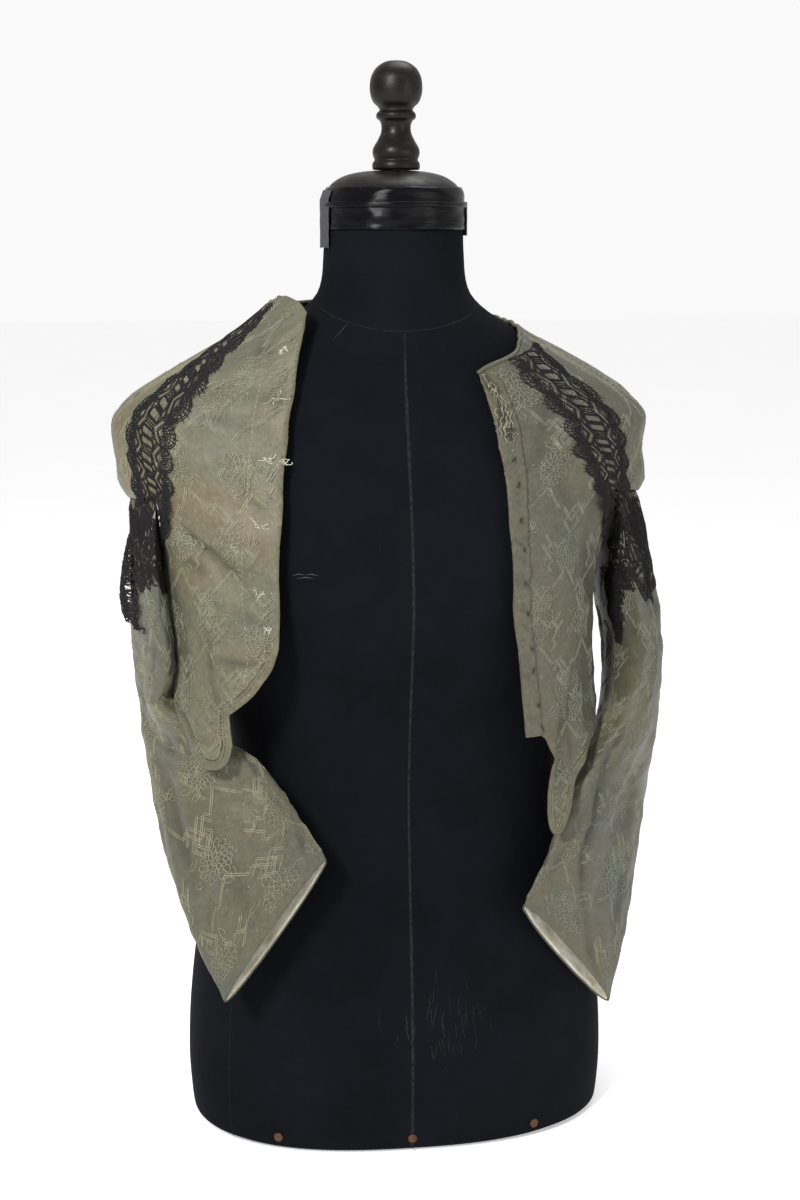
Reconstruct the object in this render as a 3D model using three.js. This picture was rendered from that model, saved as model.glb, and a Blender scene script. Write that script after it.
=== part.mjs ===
// A woman's short silk jacket, worn open on a limbless dress form.
// Millimetres, +Z up. The origin is the middle of the form's flat base, the wearer faces -Y,
// and "right" and "left" are the wearer's, so the right side is at -X.
//
// The body of the jacket lies on one surface round the form. A place on it is a turn, in degrees
// round the form (0 at the front, -90 at the right side, 90 at the left side, 180 at the back),
// and a height z. Every panel, lace band and strip is an outline of such places.
import * as THREE from 'three';
import { mergeVertices } from 'three/addons/utils/BufferGeometryUtils.js';

// ---- driving dimensions ----------------------------------------------------------------------
const SILK = 1.6;            // wall of the silk pieces
const LACE = 1.2;            // wall of the lace pieces
const SEAM = 0.45;           // each piece stops this far from its seam line
const LIFT = 0.4;            // air between a panel and what is sewn on it
const LEAST_EDGE = 2.2;      // shorter edges of a panel's net are closed up
const DEGREE = 2.4;          // length of one degree of turn, near enough, to weigh it against z
const LACE_AIR = 1.2;        // air under a lace yoke, which bridges the seam it hides
const BAND_AIR = 0.7;        // air under the lace round a sleeve
const HEM_AIR = 1.4;         // the sleeve's top edge lies this far below the cap's hem
const PLACKET = 1;           // wall of the front placket
const PLACKET_TURNS = 5.2;   // its width, in degrees of turn
const FACING = 1;            // wall of the satin facing inside a cuff
const BINDING = 3.2;         // thickness of the rolled neck binding
const BINDING_OUT = 0.4;     // how far the binding's middle lies outside the panels'
const BINDING_SIDES = 6;
const BINDING_STEPS = 40;
const BAND_TURNS = [18, 162];  // how far the arm lace reaches round the sleeve
const BODY_POWER = 2.5;      // how square the level sections of the jacket are

const UNDERARM_Z = 462;      // where the side seam meets the armhole
const CAP_HEM_Z = 513;       // where the short cap ends and the sleeve begins
const NECK_TOP_Z = 722;      // top of the form's neck, under the wooden cap
const NECK_RADIUS = 53.5;

// Level sections of the surface that the jacket follows: half-widths and depths from the axis.
const BODY = [
  { z: 200, left: 158, right: 182, front: 138, back: 112 },
  { z: 330, left: 157, right: 181, front: 136, back: 106 },
  { z: 430, left: 157, right: 180, front: 130, back: 106 },
  { z: 475, left: 163, right: 182, front: 124, back: 110 },
  { z: 510, left: 174, right: 190, front: 114, back: 112 },
  { z: 545, left: 191, right: 211, front: 100, back: 109 },
  { z: 568, left: 196, right: 213, front: 90, back: 104 },
  { z: 585, left: 182, right: 194, front: 84, back: 99 },
  { z: 600, left: 160, right: 168, front: 80, back: 94 },
  { z: 615, left: 134, right: 140, front: 77, back: 88 },
  { z: 630, left: 107, right: 110, front: 73, back: 81 },
  { z: 645, left: 82, right: 84, front: 69, back: 73 },
  { z: 660, left: 68, right: 68, front: 63, back: 66 },
  { z: 680, left: 66, right: 66, front: 62, back: 64 },
];

// How far the cloth stands off that surface, by height and by turn.
const EASE_TURNS = [-180, -130, -90, -65, -45, -20, 20, 45, 65, 90, 130, 180];
const EASE = [
  { z: 240, stand: [3, 3, 3, 20, 24, 14, 12, 22, 18, 3, 3, 3] },
  { z: 300, stand: [3, 3, 1, 14, 24, 14, 8, 18, 12, 3, 3, 3] },
  { z: 340, stand: [3, 3, 1, 8, 19, 10, 5, 11, 5, -1, 2, 3] },
  { z: 380, stand: [2, 2, 1, 4, 12, 8, 3, 5, 2, -4, 0, 2] },
  { z: 430, stand: [2, 2, 1, 4, 6, 4, 2, 3, 1, -4, 0, 2] },
  { z: 480, stand: [2, 3, 4, 5, 5, 3, 2, 3, 2, 2, 2, 2] },
  { z: 520, stand: [2, 3, 13, 4, 3, 2, 2, 3, 5, 16, 3, 2] },
  { z: 570, stand: [2, 3, 3, 3, 3, 2, 2, 2, 2, 2, 2, 2] },
  { z: 600, stand: [2, 3, 3, 3, 4, 4, 1, 1, 0, -1, 0.5, 2] },
  { z: 625, stand: [2, 4, 6, 6, 8, 8, 1, 0, -1, -2, -0.5, 2] },
  { z: 650, stand: [2, 8, 16, 16, 15, 12, 0, 0, -1, -2, -0.5, 2] },
  { z: 680, stand: [2, 8, 16, 16, 15, 12, 0, 0, -1, -1, 0, 2] },
];

// The largest folds of the body: soft troughs (depth below zero stands proud) along a line.
const BODY_FOLDS = [
  { turn0: -66, z0: 492, turn1: -38, z1: 452, depth: 6, reach: 9 },
  { turn0: -58, z0: 420, turn1: -47, z1: 345, depth: 4, reach: 9 },
  { turn0: -34, z0: 560, turn1: -60, z1: 545, depth: 3, reach: 9 },
  { turn0: 46, z0: 356, turn1: 40, z1: 290, depth: 4, reach: 7 },
  { turn0: 56, z0: 380, turn1: 52, z1: 335, depth: 3, reach: 8 },
  { turn0: 38, z0: 560, turn1: 34, z1: 500, depth: 2.5, reach: 9 },
  { turn0: -200, z0: 470, turn1: -184, z1: 350, depth: 4, reach: 12 },
  { turn0: -150, z0: 500, turn1: -160, z1: 360, depth: 4, reach: 12 },
  { turn0: -128, z0: 440, turn1: -112, z1: 480, depth: 3, reach: 10 },
  { turn0: -236, z0: 430, turn1: -246, z1: 480, depth: 3, reach: 10 },
];

// Seam lines and edges of the jacket's body, each a chain of places.
const RIGHT_FRONT_EDGE = [
  { z: 408, turn: -27.7 }, { z: 436, turn: -27.5 }, { z: 472, turn: -27.2 }, { z: 515, turn: -24 },
  { z: 557, turn: -19.4 }, { z: 585, turn: -20.5 }, { z: 602, turn: -24.3 }, { z: 618, turn: -29.7 },
  { z: 630, turn: -35.8 }, { z: 640, turn: -42.3 },
];
const RIGHT_FRONT_HEM = [
  { z: 358, turn: -90 }, { z: 354, turn: -78 }, { z: 349, turn: -68 }, { z: 343, turn: -60 },
  { z: 335, turn: -55.3 }, { z: 324, turn: -51.5 }, { z: 318, turn: -48 }, { z: 317, turn: -44.7 },
  { z: 319, turn: -42.2 }, { z: 325, turn: -40 }, { z: 337, turn: -39 }, { z: 348, turn: -40 },
  { z: 358, turn: -40.8 }, { z: 365, turn: -37.5 }, { z: 373, turn: -34.3 }, { z: 383, turn: -31.7 },
  { z: 393, turn: -29.4 },
];
const RIGHT_NECK = [{ z: 644, turn: -50 }, { z: 646.5, turn: -62 }, { z: 646, turn: -75 }];
const RIGHT_RAGLAN = [
  { z: 643, turn: -85 }, { z: 631, turn: -81 }, { z: 618, turn: -73.6 }, { z: 609, turn: -65.5 },
  { z: 597, turn: -59.5 }, { z: 587, turn: -57.4 }, { z: 576, turn: -56.4 }, { z: 565, turn: -57.5 },
  { z: 551, turn: -60 }, { z: 533, turn: -64.1 }, { z: CAP_HEM_Z, turn: -68.5 },
];
const RIGHT_ARMHOLE = [{ z: 495, turn: -72.5 }, { z: 477, turn: -79 }, { z: UNDERARM_Z, turn: -90 }];
const RIGHT_BACK_ARMHOLE = [{ z: 477, turn: -101 }, { z: 495, turn: -107.5 }];
const RIGHT_BACK_RAGLAN = [
  { z: CAP_HEM_Z, turn: -111.5 }, { z: 533, turn: -115 }, { z: 551, turn: -118 }, { z: 568, turn: -120 },
  { z: 585, turn: -121 }, { z: 600, turn: -120.5 }, { z: 614, turn: -119 }, { z: 628, turn: -117.5 },
  { z: 643, turn: -117 },
];
const RIGHT_SHOULDER_NECK = [{ z: 643, turn: -95 }, { z: 643, turn: -106 }];

const LEFT_FRONT_EDGE = [
  { z: 337, turn: 25.8 }, { z: 369, turn: 25.2 }, { z: 401, turn: 24.2 }, { z: 423, turn: 22.9 },
  { z: 462, turn: 22 }, { z: 489, turn: 20.3 }, { z: 525, turn: 17.8 }, { z: 553, turn: 15 },
  { z: 579, turn: 14.1 }, { z: 602, turn: 15.3 },
];
const LEFT_FRONT_HEM = [
  { z: 350, turn: 90 }, { z: 346, turn: 78 }, { z: 339, turn: 66 }, { z: 330, turn: 56 },
  { z: 318, turn: 48.5 }, { z: 304, turn: 43.3 }, { z: 288, turn: 40.3 }, { z: 271, turn: 37.8 },
  { z: 262, turn: 35.8 }, { z: 261, turn: 33.2 }, { z: 268, turn: 31.9 }, { z: 286, turn: 31.7 },
  { z: 303, turn: 32.5 }, { z: 318, turn: 34.9 }, { z: 327, turn: 33.2 }, { z: 336, turn: 31.4 },
];
const LEFT_NECK = [
  { z: 606, turn: 18.7 }, { z: 610, turn: 24.6 }, { z: 615, turn: 33.3 }, { z: 619, turn: 39 },
];
const LEFT_RAGLAN = [
  { z: 623, turn: 43.5 }, { z: 611, turn: 38.5 }, { z: 601, turn: 37.2 }, { z: 591, turn: 38 },
  { z: 581, turn: 38.2 }, { z: 568, turn: 39.5 }, { z: 554, turn: 43.5 }, { z: 543, turn: 48.3 },
  { z: 529, turn: 55 }, { z: CAP_HEM_Z, turn: 62.5 },
];
const LEFT_ARMHOLE = [{ z: 495, turn: 69.5 }, { z: 477, turn: 78 }, { z: UNDERARM_Z, turn: 90 }];
const LEFT_BACK_ARMHOLE = [{ z: 477, turn: 102 }, { z: 495, turn: 109 }];
const LEFT_BACK_RAGLAN = [
  { z: CAP_HEM_Z, turn: 114 }, { z: 533, turn: 118.5 }, { z: 551, turn: 121.5 }, { z: 568, turn: 124 },
  { z: 585, turn: 126.5 }, { z: 600, turn: 128.5 }, { z: 614, turn: 129.5 }, { z: 628, turn: 130 },
  { z: 641, turn: 130 },
];
const LEFT_SHOULDER_NECK = [
  { z: 629, turn: 54 }, { z: 634, turn: 68 }, { z: 637, turn: 84 }, { z: 639, turn: 100 },
  { z: 640, turn: 115 },
];
const BACK_NECK = [{ z: 645, turn: 145 }, { z: 649, turn: 163 }, { z: 650, turn: 180 }];
const BACK_NECK_RIGHT = [{ z: 649, turn: -163 }, { z: 646, turn: -145 }, { z: 644, turn: -130 }];
const BACK_HEM = [
  { z: 350, turn: 90 }, { z: 341, turn: 112 }, { z: 334, turn: 135 }, { z: 330, turn: 158 },
  { z: 329, turn: 180 },
];
const BACK_HEM_RIGHT = [
  { z: 330, turn: -158 }, { z: 335, turn: -135 }, { z: 345, turn: -112 }, { z: 358, turn: -90 },
];

// Edges of the lace yokes, outside the seam lines.
const RIGHT_LACE_INNER = [
  { z: 642, turn: -72 }, { z: 629, turn: -63 }, { z: 614, turn: -55 }, { z: 600, turn: -49 },
  { z: 586, turn: -46.5 }, { z: 572, turn: -47 }, { z: 556, turn: -49.5 }, { z: 540, turn: -53 },
  { z: 527, turn: -56.5 }, { z: 515, turn: -60 },
];
const RIGHT_LACE_OUTER = [
  { z: 515, turn: -77 }, { z: 527, turn: -74 }, { z: 540, turn: -71 }, { z: 556, turn: -68.5 },
  { z: 572, turn: -68 }, { z: 586, turn: -69.5 }, { z: 598, turn: -74 }, { z: 610, turn: -82 },
  { z: 622, turn: -90 }, { z: 639, turn: -97 },
];
const LEFT_LACE_INNER = [
  { z: 613, turn: 31 }, { z: 600, turn: 28.5 }, { z: 588, turn: 29.5 }, { z: 574, turn: 31 },
  { z: 560, turn: 34 }, { z: 546, turn: 37.5 }, { z: 532, turn: 43 }, { z: 515, turn: 50 },
];
const LEFT_LACE_OUTER = [
  { z: 515, turn: 69.5 }, { z: 532, turn: 63 }, { z: 546, turn: 58 },
  { z: 560, turn: 53 }, { z: 574, turn: 49.5 }, { z: 588, turn: 48 }, { z: 600, turn: 47.5 },
  { z: 611, turn: 50 }, { z: 624, turn: 56 },
];

// Sleeves: flat tubes, cut across at stations from the armhole to the cuff. x, y, z is the middle
// of the section, wide and thin its half-sizes, turn and lift point its wide way to the front fold.
// Round a sleeve, 0 is that fold, 90 the outer side, 180 the back fold and 270 the inner side.
const RIGHT_SLEEVE = {
  side: -1,
  hem: [RIGHT_RAGLAN.at(-1).turn, RIGHT_BACK_RAGLAN[0].turn],
  armhole: [...RIGHT_ARMHOLE, ...RIGHT_BACK_ARMHOLE],
  bandStations: [0.3, 1, 2],
  rows: [
    { x: -196, y: 0, z: 488, wide: 62, thin: 8.8, turn: -90, lift: 0 },
    { x: -196, y: -3, z: 430, wide: 70, thin: 9.4, turn: -84, lift: 0 },
    { x: -195, y: -12, z: 385, wide: 68, thin: 9.4, turn: -81, lift: 0 },
    { x: -195.5, y: -12, z: 352, wide: 54, thin: 8.6, turn: -85, lift: 4 },
    { x: -178, y: -35, z: 323, wide: 49, thin: 14, turn: -68, lift: 16 },
    { x: -156, y: -76, z: 294, wide: 56, thin: 17, turn: -45, lift: 32 },
    { x: -138.5, y: -103, z: 258, wide: 58, thin: 15, turn: -20, lift: 44 },
    { x: -123, y: -118, z: 225, wide: 63, thin: 12.5, turn: -8, lift: 50 },
    { x: -106.5, y: -130, z: 196, wide: 66, thin: 8, turn: 0, lift: 54.8 },
  ],
  folds: [
    { around0: 60, along0: 0.3, around1: 110, along1: 0.62, depth: 4, reach: 0.05 },
    { around0: 40, along0: 0.62, around1: 75, along1: 0.85, depth: 3, reach: 0.05 },
  ],
};
const LEFT_SLEEVE = {
  side: 1,
  hem: [LEFT_RAGLAN.at(-1).turn, LEFT_BACK_RAGLAN[0].turn],
  armhole: [...LEFT_ARMHOLE, ...LEFT_BACK_ARMHOLE],
  bandStations: [0.3, 1, 2, 3],
  rows: [
    { x: 185, y: 0, z: 488, wide: 60, thin: 15, turn: -90, lift: 0 },
    { x: 185.5, y: -6, z: 430, wide: 66, thin: 18.5, turn: -90, lift: 0 },
    { x: 191, y: -16, z: 378, wide: 67, thin: 17, turn: -92, lift: 2 },
    { x: 188, y: -34, z: 325, wide: 65, thin: 19, turn: -105, lift: 8 },
    { x: 172, y: -60, z: 277, wide: 61, thin: 18, turn: -122, lift: 18 },
    { x: 155, y: -80, z: 236, wide: 59, thin: 15, turn: -134, lift: 30 },
    { x: 139, y: -93, z: 193, wide: 62, thin: 13, turn: -143, lift: 41 },
    { x: 124.5, y: -102, z: 155, wide: 67, thin: 8, turn: -150, lift: 48.2 },
  ],
  folds: [
    { around0: 70, along0: 0.35, around1: 96, along1: 0.95, depth: 5, reach: 0.05 },
    { around0: 42, along0: 0.05, around1: 50, along1: 0.5, depth: 6, reach: 0.05 },
  ],
};
const SLEEVE_AROUND = 20;
const SLEEVE_ALONG = 18;
const SLEEVE_CROWDING = 1.25; // above 1, the stations lie closer together near the armhole
const ARMHOLE_BLEND = 0.16;  // share of the sleeve that eases from the armhole's shape to the tube
const CUFF_SLANT = 3;        // how much longer the back wall is at the cuff
const CUFF_START = 0.7;      // where along the sleeve that begins
const NEAR_ALONG = 0.01;     // step along a sleeve, to find its direction

// Loose ends of lace: between two turns round a sleeve, over some stations down it.
const TUFT = { turns: [58, 104], stations: [2.1, 4.6], steps: 6, rounds: 6, endWidth: 0.5 };
const TUFT_RISE = 7;         // how far the crumpled end stands off the sleeve
const TUFT_RUFFLE = 1.4;
const DROP = { turns: [-68, -40], stations: [3.1, 5.6], steps: 5, rounds: 4, endWidth: 0.12 };
const DROP_SWING = 0.8;      // how far its point swings off the sleeve

// The form: level sections from the base to the top of the neck.
const FORM = [
  { z: 0, side: 160, front: 110, back: 101, power: 2.5 },
  { z: 2.5, side: 166, front: 115.5, back: 106.5, power: 2.5 },
  { z: 8, side: 168, front: 117, back: 108, power: 2.5 },
  { z: 45, side: 170, front: 119, back: 112, power: 2.5 },
  { z: 100, side: 167, front: 118, back: 115, power: 2.5 },
  { z: 170, side: 157, front: 109, back: 109, power: 2.5 },
  { z: 230, side: 142, front: 99, back: 93, power: 2.5 },
  { z: 285, side: 131, front: 93, back: 81, power: 2.5 },
  { z: 340, side: 135, front: 101, back: 82, power: 2.5 },
  { z: 390, side: 144, front: 113, back: 88, power: 2.5 },
  { z: 430, side: 151, front: 121, back: 95, power: 2.5 },
  { z: 470, side: 157, front: 117, back: 101, power: 2.5 },
  { z: 510, side: 167, front: 106, back: 104, power: 2.5 },
  { z: 545, side: 181, front: 93, back: 101, power: 2.5 },
  { z: 570, side: 184, front: 83, back: 95, power: 2.5 },
  { z: 590, side: 168, front: 76, back: 89, power: 2.5 },
  { z: 610, side: 136, front: 71, back: 82, power: 2.4 },
  { z: 630, side: 99, front: 67, back: 74, power: 2.3 },
  { z: 647, side: 71, front: 62, back: 65, power: 2.2 },
  { z: 662, side: 58, front: 57, back: 58, power: 2 },
  { z: 690, side: 54, front: 54, back: 54, power: 2 },
  { z: NECK_TOP_Z, side: NECK_RADIUS, front: NECK_RADIUS, back: NECK_RADIUS, power: 2 },
];
const FORM_SIDES = 36;
// Turned pieces on the neck, radius by height: the wooden cap, the knob on it and the tape round it.
const CAP_PROFILE = [
  { r: 0, z: 722.3 }, { r: 52, z: 722.3 }, { r: 52.4, z: 731 }, { r: 50.5, z: 738 },
  { r: 46, z: 744 }, { r: 38, z: 748.5 }, { r: 26, z: 751 }, { r: 0, z: 752 },
];
const KNOB_PROFILE = [
  { r: 0, z: 752.3 }, { r: 18, z: 752.3 }, { r: 18, z: 757 }, { r: 16.5, z: 759 },
  { r: 17.2, z: 763 }, { r: 17.2, z: 768 }, { r: 14.5, z: 773 }, { r: 11.5, z: 779 },
  { r: 11.3, z: 785 }, { r: 13, z: 789 }, { r: 14.9, z: 790.5 }, { r: 14.9, z: 794 },
  { r: 12.5, z: 796.5 }, { r: 17, z: 801.5 }, { r: 19.6, z: 808 }, { r: 20, z: 814 },
  { r: 18.6, z: 821.5 }, { r: 14, z: 828 }, { r: 7, z: 832 }, { r: 0, z: 833 },
];
const TAPE_PROFILE = [
  { r: 54.4, z: 708 }, { r: 55.4, z: 708 }, { r: 54.9, z: 722 }, { r: 54.2, z: 731.5 },
  { r: 52.3, z: 739 }, { r: 51.2, z: 738.6 }, { r: 53.1, z: 731.2 }, { r: 53.9, z: 722 },
  { r: 54.4, z: 708 },
];
const CAP_SIDES = 28;
const KNOB_SIDES = 24;
const KNOB_X = 2;            // the knob stands a little to the left of the form's axis
const PATCH = 1;             // wall of a matt tape patch
const PATCH_RADIUS = 56.4;
const PATCH_ROUNDS = 4;
const PATCH_ROWS = 3;
const TAPE_PATCHES = [
  { name: 'form_patch_right', turn0: -112, turn1: -68, low: 694, high: 737 },
  { name: 'form_patch_left', turn0: 74, turn1: 104, low: 703, high: 728 },
];
const TACK_TURNS = [-33, 0, 31];
const TACK_Z = 12;
const TACK_RADIUS = 3.6;
const TACK_HEIGHT = 1.6;
const TACK_SIDES = 10;

// ---- colours ---------------------------------------------------------------------------------
const SILK_COLOUR = 0x77745c;
const LACE_COLOUR = 0x17161a;
const FACING_COLOUR = 0xa9a58e;
const FORM_COLOUR = 0x0b0c10;
const WOOD_COLOUR = 0x1d1713;
const TAPE_COLOUR = 0x050506;
const PATCH_COLOUR = 0x4a4a4c;
const TACK_COLOUR = 0x5a3a22;

// ---- tables ----------------------------------------------------------------------------------
// Smooth value through the points (keys[i], values[i]); outside them it stays at the end value.
function smooth(keys, values, key) {
  const last = keys.length - 1;
  if (key <= keys[0]) return values[0];
  if (key >= keys[last]) return values[last];
  let i = 0;
  while (keys[i + 1] < key) i += 1;
  const slope = (a, b) => (values[b] - values[a]) / (keys[b] - keys[a]);
  const run = keys[i + 1] - keys[i];
  const slope0 = slope(Math.max(i - 1, 0), i + 1) * run;
  const slope1 = slope(i, Math.min(i + 2, last)) * run;
  const t = (key - keys[i]) / run;
  const blend = t * t * (3 - 2 * t);
  const bend0 = t * (1 - t) * (1 - t);
  const bend1 = t * t * (t - 1);
  return values[i] + (values[i + 1] - values[i]) * blend + slope0 * bend0 + slope1 * bend1;
}

const reversed = (chain) => [...chain].reverse();
const column = (rows, name) => rows.map((row) => row[name]);
const atHeight = (rows, name, z) => smooth(column(rows, 'z'), column(rows, name), z);

const signedPower = (value, power) => Math.sign(value) * Math.abs(value) ** power;

// Point of a level section: a rounded rectangle with its own size to each side.
function sectionPoint(turn, left, right, front, back, power) {
  const angle = THREE.MathUtils.degToRad(turn);
  const across = signedPower(Math.sin(angle), 2 / power);
  const ahead = signedPower(Math.cos(angle), 2 / power);
  const x = across * (across < 0 ? right : left);
  const y = -ahead * (ahead > 0 ? front : back);
  return new THREE.Vector2(x, y);
}

// ---- the jacket's body surface ---------------------------------------------------------------
function bodyPoint(turn, z) {
  const sizes = ['left', 'right', 'front', 'back'].map((name) => atHeight(BODY, name, z));
  const point = sectionPoint(turn, ...sizes, BODY_POWER);
  return new THREE.Vector3(point.x, point.y, z);
}

function bodyNormal(turn, z) {
  const step = 0.5;
  const round = bodyPoint(turn + step, z).sub(bodyPoint(turn - step, z));
  const rise = bodyPoint(turn, z + step).sub(bodyPoint(turn, z - step));
  return round.cross(rise).normalize();
}

// Share of a fold's depth at a place: full on its line, soft to the sides, tapering to its ends.
function foldShare(dx0, dy0, dx1, dy1, reach) {
  const spanX = dx1 - dx0;
  const spanY = dy1 - dy0;
  const along = -(dx0 * spanX + dy0 * spanY) / (spanX * spanX + spanY * spanY);
  const held = THREE.MathUtils.clamp(along, 0, 1);
  const away = Math.hypot(dx0 + held * spanX, dy0 + held * spanY) / reach;
  const ends = 0.35 + 0.65 * Math.sin(Math.PI * held);
  return Math.exp(-away * away) * ends;
}

const nearTurn = (turn, centre) => turn + 360 * Math.round((centre - turn) / 360);

function stand(turn, z) {
  const wrapped = nearTurn(turn, 0);
  const heights = column(EASE, 'z');
  const levels = EASE_TURNS.map((_, i) => smooth(heights, EASE.map((row) => row.stand[i]), z));
  let total = smooth(EASE_TURNS, levels, wrapped);
  for (const fold of BODY_FOLDS) {
    const here = nearTurn(turn, fold.turn0);
    const dx0 = (fold.turn0 - here) * DEGREE;
    const dx1 = (fold.turn1 - here) * DEGREE;
    total -= fold.depth * foldShare(dx0, fold.z0 - z, dx1, fold.z1 - z, fold.reach);
  }
  return total;
}

function clothPoint(turn, z, out) {
  return bodyPoint(turn, z).addScaledVector(bodyNormal(turn, z), stand(turn, z) + out);
}

// ---- nets of panels --------------------------------------------------------------------------
const NET_TURNS = [
  10, 19, 28, 36, 44, 52, 60, 68, 76, 83, 90, 97, 104, 112, 121, 131, 142, 154, 167,
];
const NET_TURN_LINES = [
  ...reversed(NET_TURNS).map((turn) => -turn),
  ...NET_TURNS,
  180,
  ...reversed(NET_TURNS).map((turn) => 360 - turn),
];
const NET_HEIGHT_LINES = [
  275, 293, 311, 329, 347, 366, 385, 404, 424, 443, UNDERARM_Z, 479, 496, CAP_HEM_Z, 530, 546, 561,
  575, 588, 600, 611, 621, 631, 641,
];

// The part of a flat outline on one side of a line: places whose name is under (or over) the limit.
function clip(outline, name, limit, keepUnder) {
  const kept = [];
  const inside = (place) => (keepUnder ? place[name] <= limit : place[name] >= limit);
  for (let i = 0; i < outline.length; i += 1) {
    const here = outline[i];
    const next = outline[(i + 1) % outline.length];
    if (inside(here)) kept.push(here);
    if (inside(here) !== inside(next)) {
      const t = (limit - here[name]) / (next[name] - here[name]);
      const turn = name === 'turn' ? limit : THREE.MathUtils.lerp(here.turn, next.turn, t);
      const z = name === 'z' ? limit : THREE.MathUtils.lerp(here.z, next.z, t);
      kept.push({ turn, z });
    }
  }
  return kept;
}

// Bands of an outline between neighbouring lines.
function slice(outline, name, lines) {
  const bands = [];
  const limits = [-Infinity, ...lines, Infinity];
  for (let i = 0; i + 1 < limits.length; i += 1) {
    const low = limits[i] === -Infinity ? outline : clip(outline, name, limits[i], false);
    const band = limits[i + 1] === Infinity ? low : clip(low, name, limits[i + 1], true);
    if (band.length > 2) bands.push(band);
  }
  return bands;
}

const flat = (place) => new THREE.Vector2(place.turn * DEGREE, place.z);
const apart = (a, b) => flat(a).distanceTo(flat(b));

// Distance from a place to the nearest side of the outline.
function toOutline(place, outline) {
  let least = Infinity;
  const point = flat(place);
  for (let i = 0; i < outline.length; i += 1) {
    const a = flat(outline[i]);
    const side = flat(outline[(i + 1) % outline.length]).sub(a);
    const t = THREE.MathUtils.clamp(point.clone().sub(a).dot(side) / side.lengthSq(), 0, 1);
    least = Math.min(least, point.distanceTo(a.addScaledVector(side, t)));
  }
  return least;
}

// Twice the flat area of a triangle, above zero where its corners turn left.
function signedArea(places, [a, b, c]) {
  const side = flat(places[b]).sub(flat(places[a]));
  return side.cross(flat(places[c]).sub(flat(places[a])));
}

// Net of triangles over an outline, cut on the net lines, with its shortest edges closed up.
// Corners of the outline stay, then places on its sides, then the others.
function netOf(outline) {
  const corners = outline.map((place) => ({ ...place, rank: 0 }));
  const places = [...corners];
  const keyOf = (place) => `${place.turn.toFixed(4)},${place.z.toFixed(4)}`;
  const index = new Map(corners.map((place, i) => [keyOf(place), i]));
  const triangles = [];
  for (const band of slice(corners, 'z', NET_HEIGHT_LINES)) {
    for (const cell of slice(band, 'turn', NET_TURN_LINES)) {
      const ids = cell.map((place) => {
        const key = keyOf(place);
        if (!index.has(key)) {
          index.set(key, places.length);
          const rank = toOutline(place, outline) < 1e-3 ? 1 : 2;
          places.push({ turn: place.turn, z: place.z, rank });
        }
        return index.get(key);
      });
      const ring = ids.filter((id, i) => id !== ids[(i + 1) % ids.length]);
      if (ring.length < 3) continue;
      const around = ring.map((id) => flat(places[id]));
      for (const [a, b, c] of THREE.ShapeUtils.triangulateShape(around, [])) {
        triangles.push([ring[a], ring[b], ring[c]]);
      }
    }
  }
  const order = places.map((_, i) => i).sort((a, b) => places[a].rank - places[b].rank || a - b);
  const stands = [];
  const goesTo = new Map();
  for (const id of order) {
    const near = places[id].rank === 0 ? undefined
      : stands.find((other) => apart(places[id], places[other]) < LEAST_EDGE);
    goesTo.set(id, near === undefined ? id : near);
    if (near === undefined) stands.push(id);
  }
  const closed = triangles.map((triangle) => triangle.map((id) => goesTo.get(id)));
  return { places, triangles: closed.filter((ids) => Math.abs(signedArea(places, ids)) > 1e-6) };
}

// The edges of a net that only one triangle uses, in the direction that triangle runs them.
function rimOf(triangles) {
  const edges = new Map();
  for (const triangle of triangles) {
    triangle.forEach((a, i) => {
      const b = triangle[(i + 1) % 3];
      const back = `${b},${a}`;
      if (edges.has(back)) edges.delete(back);
      else edges.set(`${a},${b}`, [a, b]);
    });
  }
  return [...edges.values()];
}

// A geometry class's mesh as one closed solid: shared corners joined, faces pointing out.
function solid(geometry) {
  const bare = geometry.clone();
  bare.deleteAttribute('normal');
  bare.deleteAttribute('uv');
  const joined = mergeVertices(bare, 1e-4);
  const point = (i) => new THREE.Vector3().fromBufferAttribute(joined.getAttribute('position'), i);
  const index = [...joined.index.array];
  const faces = [];
  let volume = 0;
  for (let i = 0; i < index.length; i += 3) {
    const [a, b, c] = index.slice(i, i + 3);
    if (a === b || b === c || c === a) continue;
    volume += point(a).dot(point(b).cross(point(c)));
    faces.push([a, b, c]);
  }
  joined.setIndex((volume > 0 ? faces : faces.map(([a, b, c]) => [a, c, b])).flat());
  return joined;
}

function bareGeometry(positions, faces) {
  const geometry = new THREE.BufferGeometry();
  const numbers = positions.flatMap((point) => point.toArray());
  geometry.setAttribute('position', new THREE.Float32BufferAttribute(numbers, 3));
  geometry.setIndex(faces.flat());
  return geometry;
}

// A closed solid from an outer and an inner skin that share their triangles.
function wallFrom(outer, inner, triangles) {
  const used = [...new Set(triangles.flat())];
  const place = new Map(used.map((id, i) => [id, i]));
  const positions = [...used.map((id) => outer[id]), ...used.map((id) => inner[id])];
  const half = used.length;
  const faces = [];
  for (const [a, b, c] of triangles) {
    faces.push([place.get(a), place.get(b), place.get(c)]);
    faces.push([place.get(a) + half, place.get(c) + half, place.get(b) + half]);
  }
  for (const [a, b] of rimOf(triangles)) {
    const [p, q] = [place.get(a), place.get(b)];
    faces.push([p, p + half, q + half]);
    faces.push([p, q + half, q]);
  }
  return bareGeometry(positions, faces);
}

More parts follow.
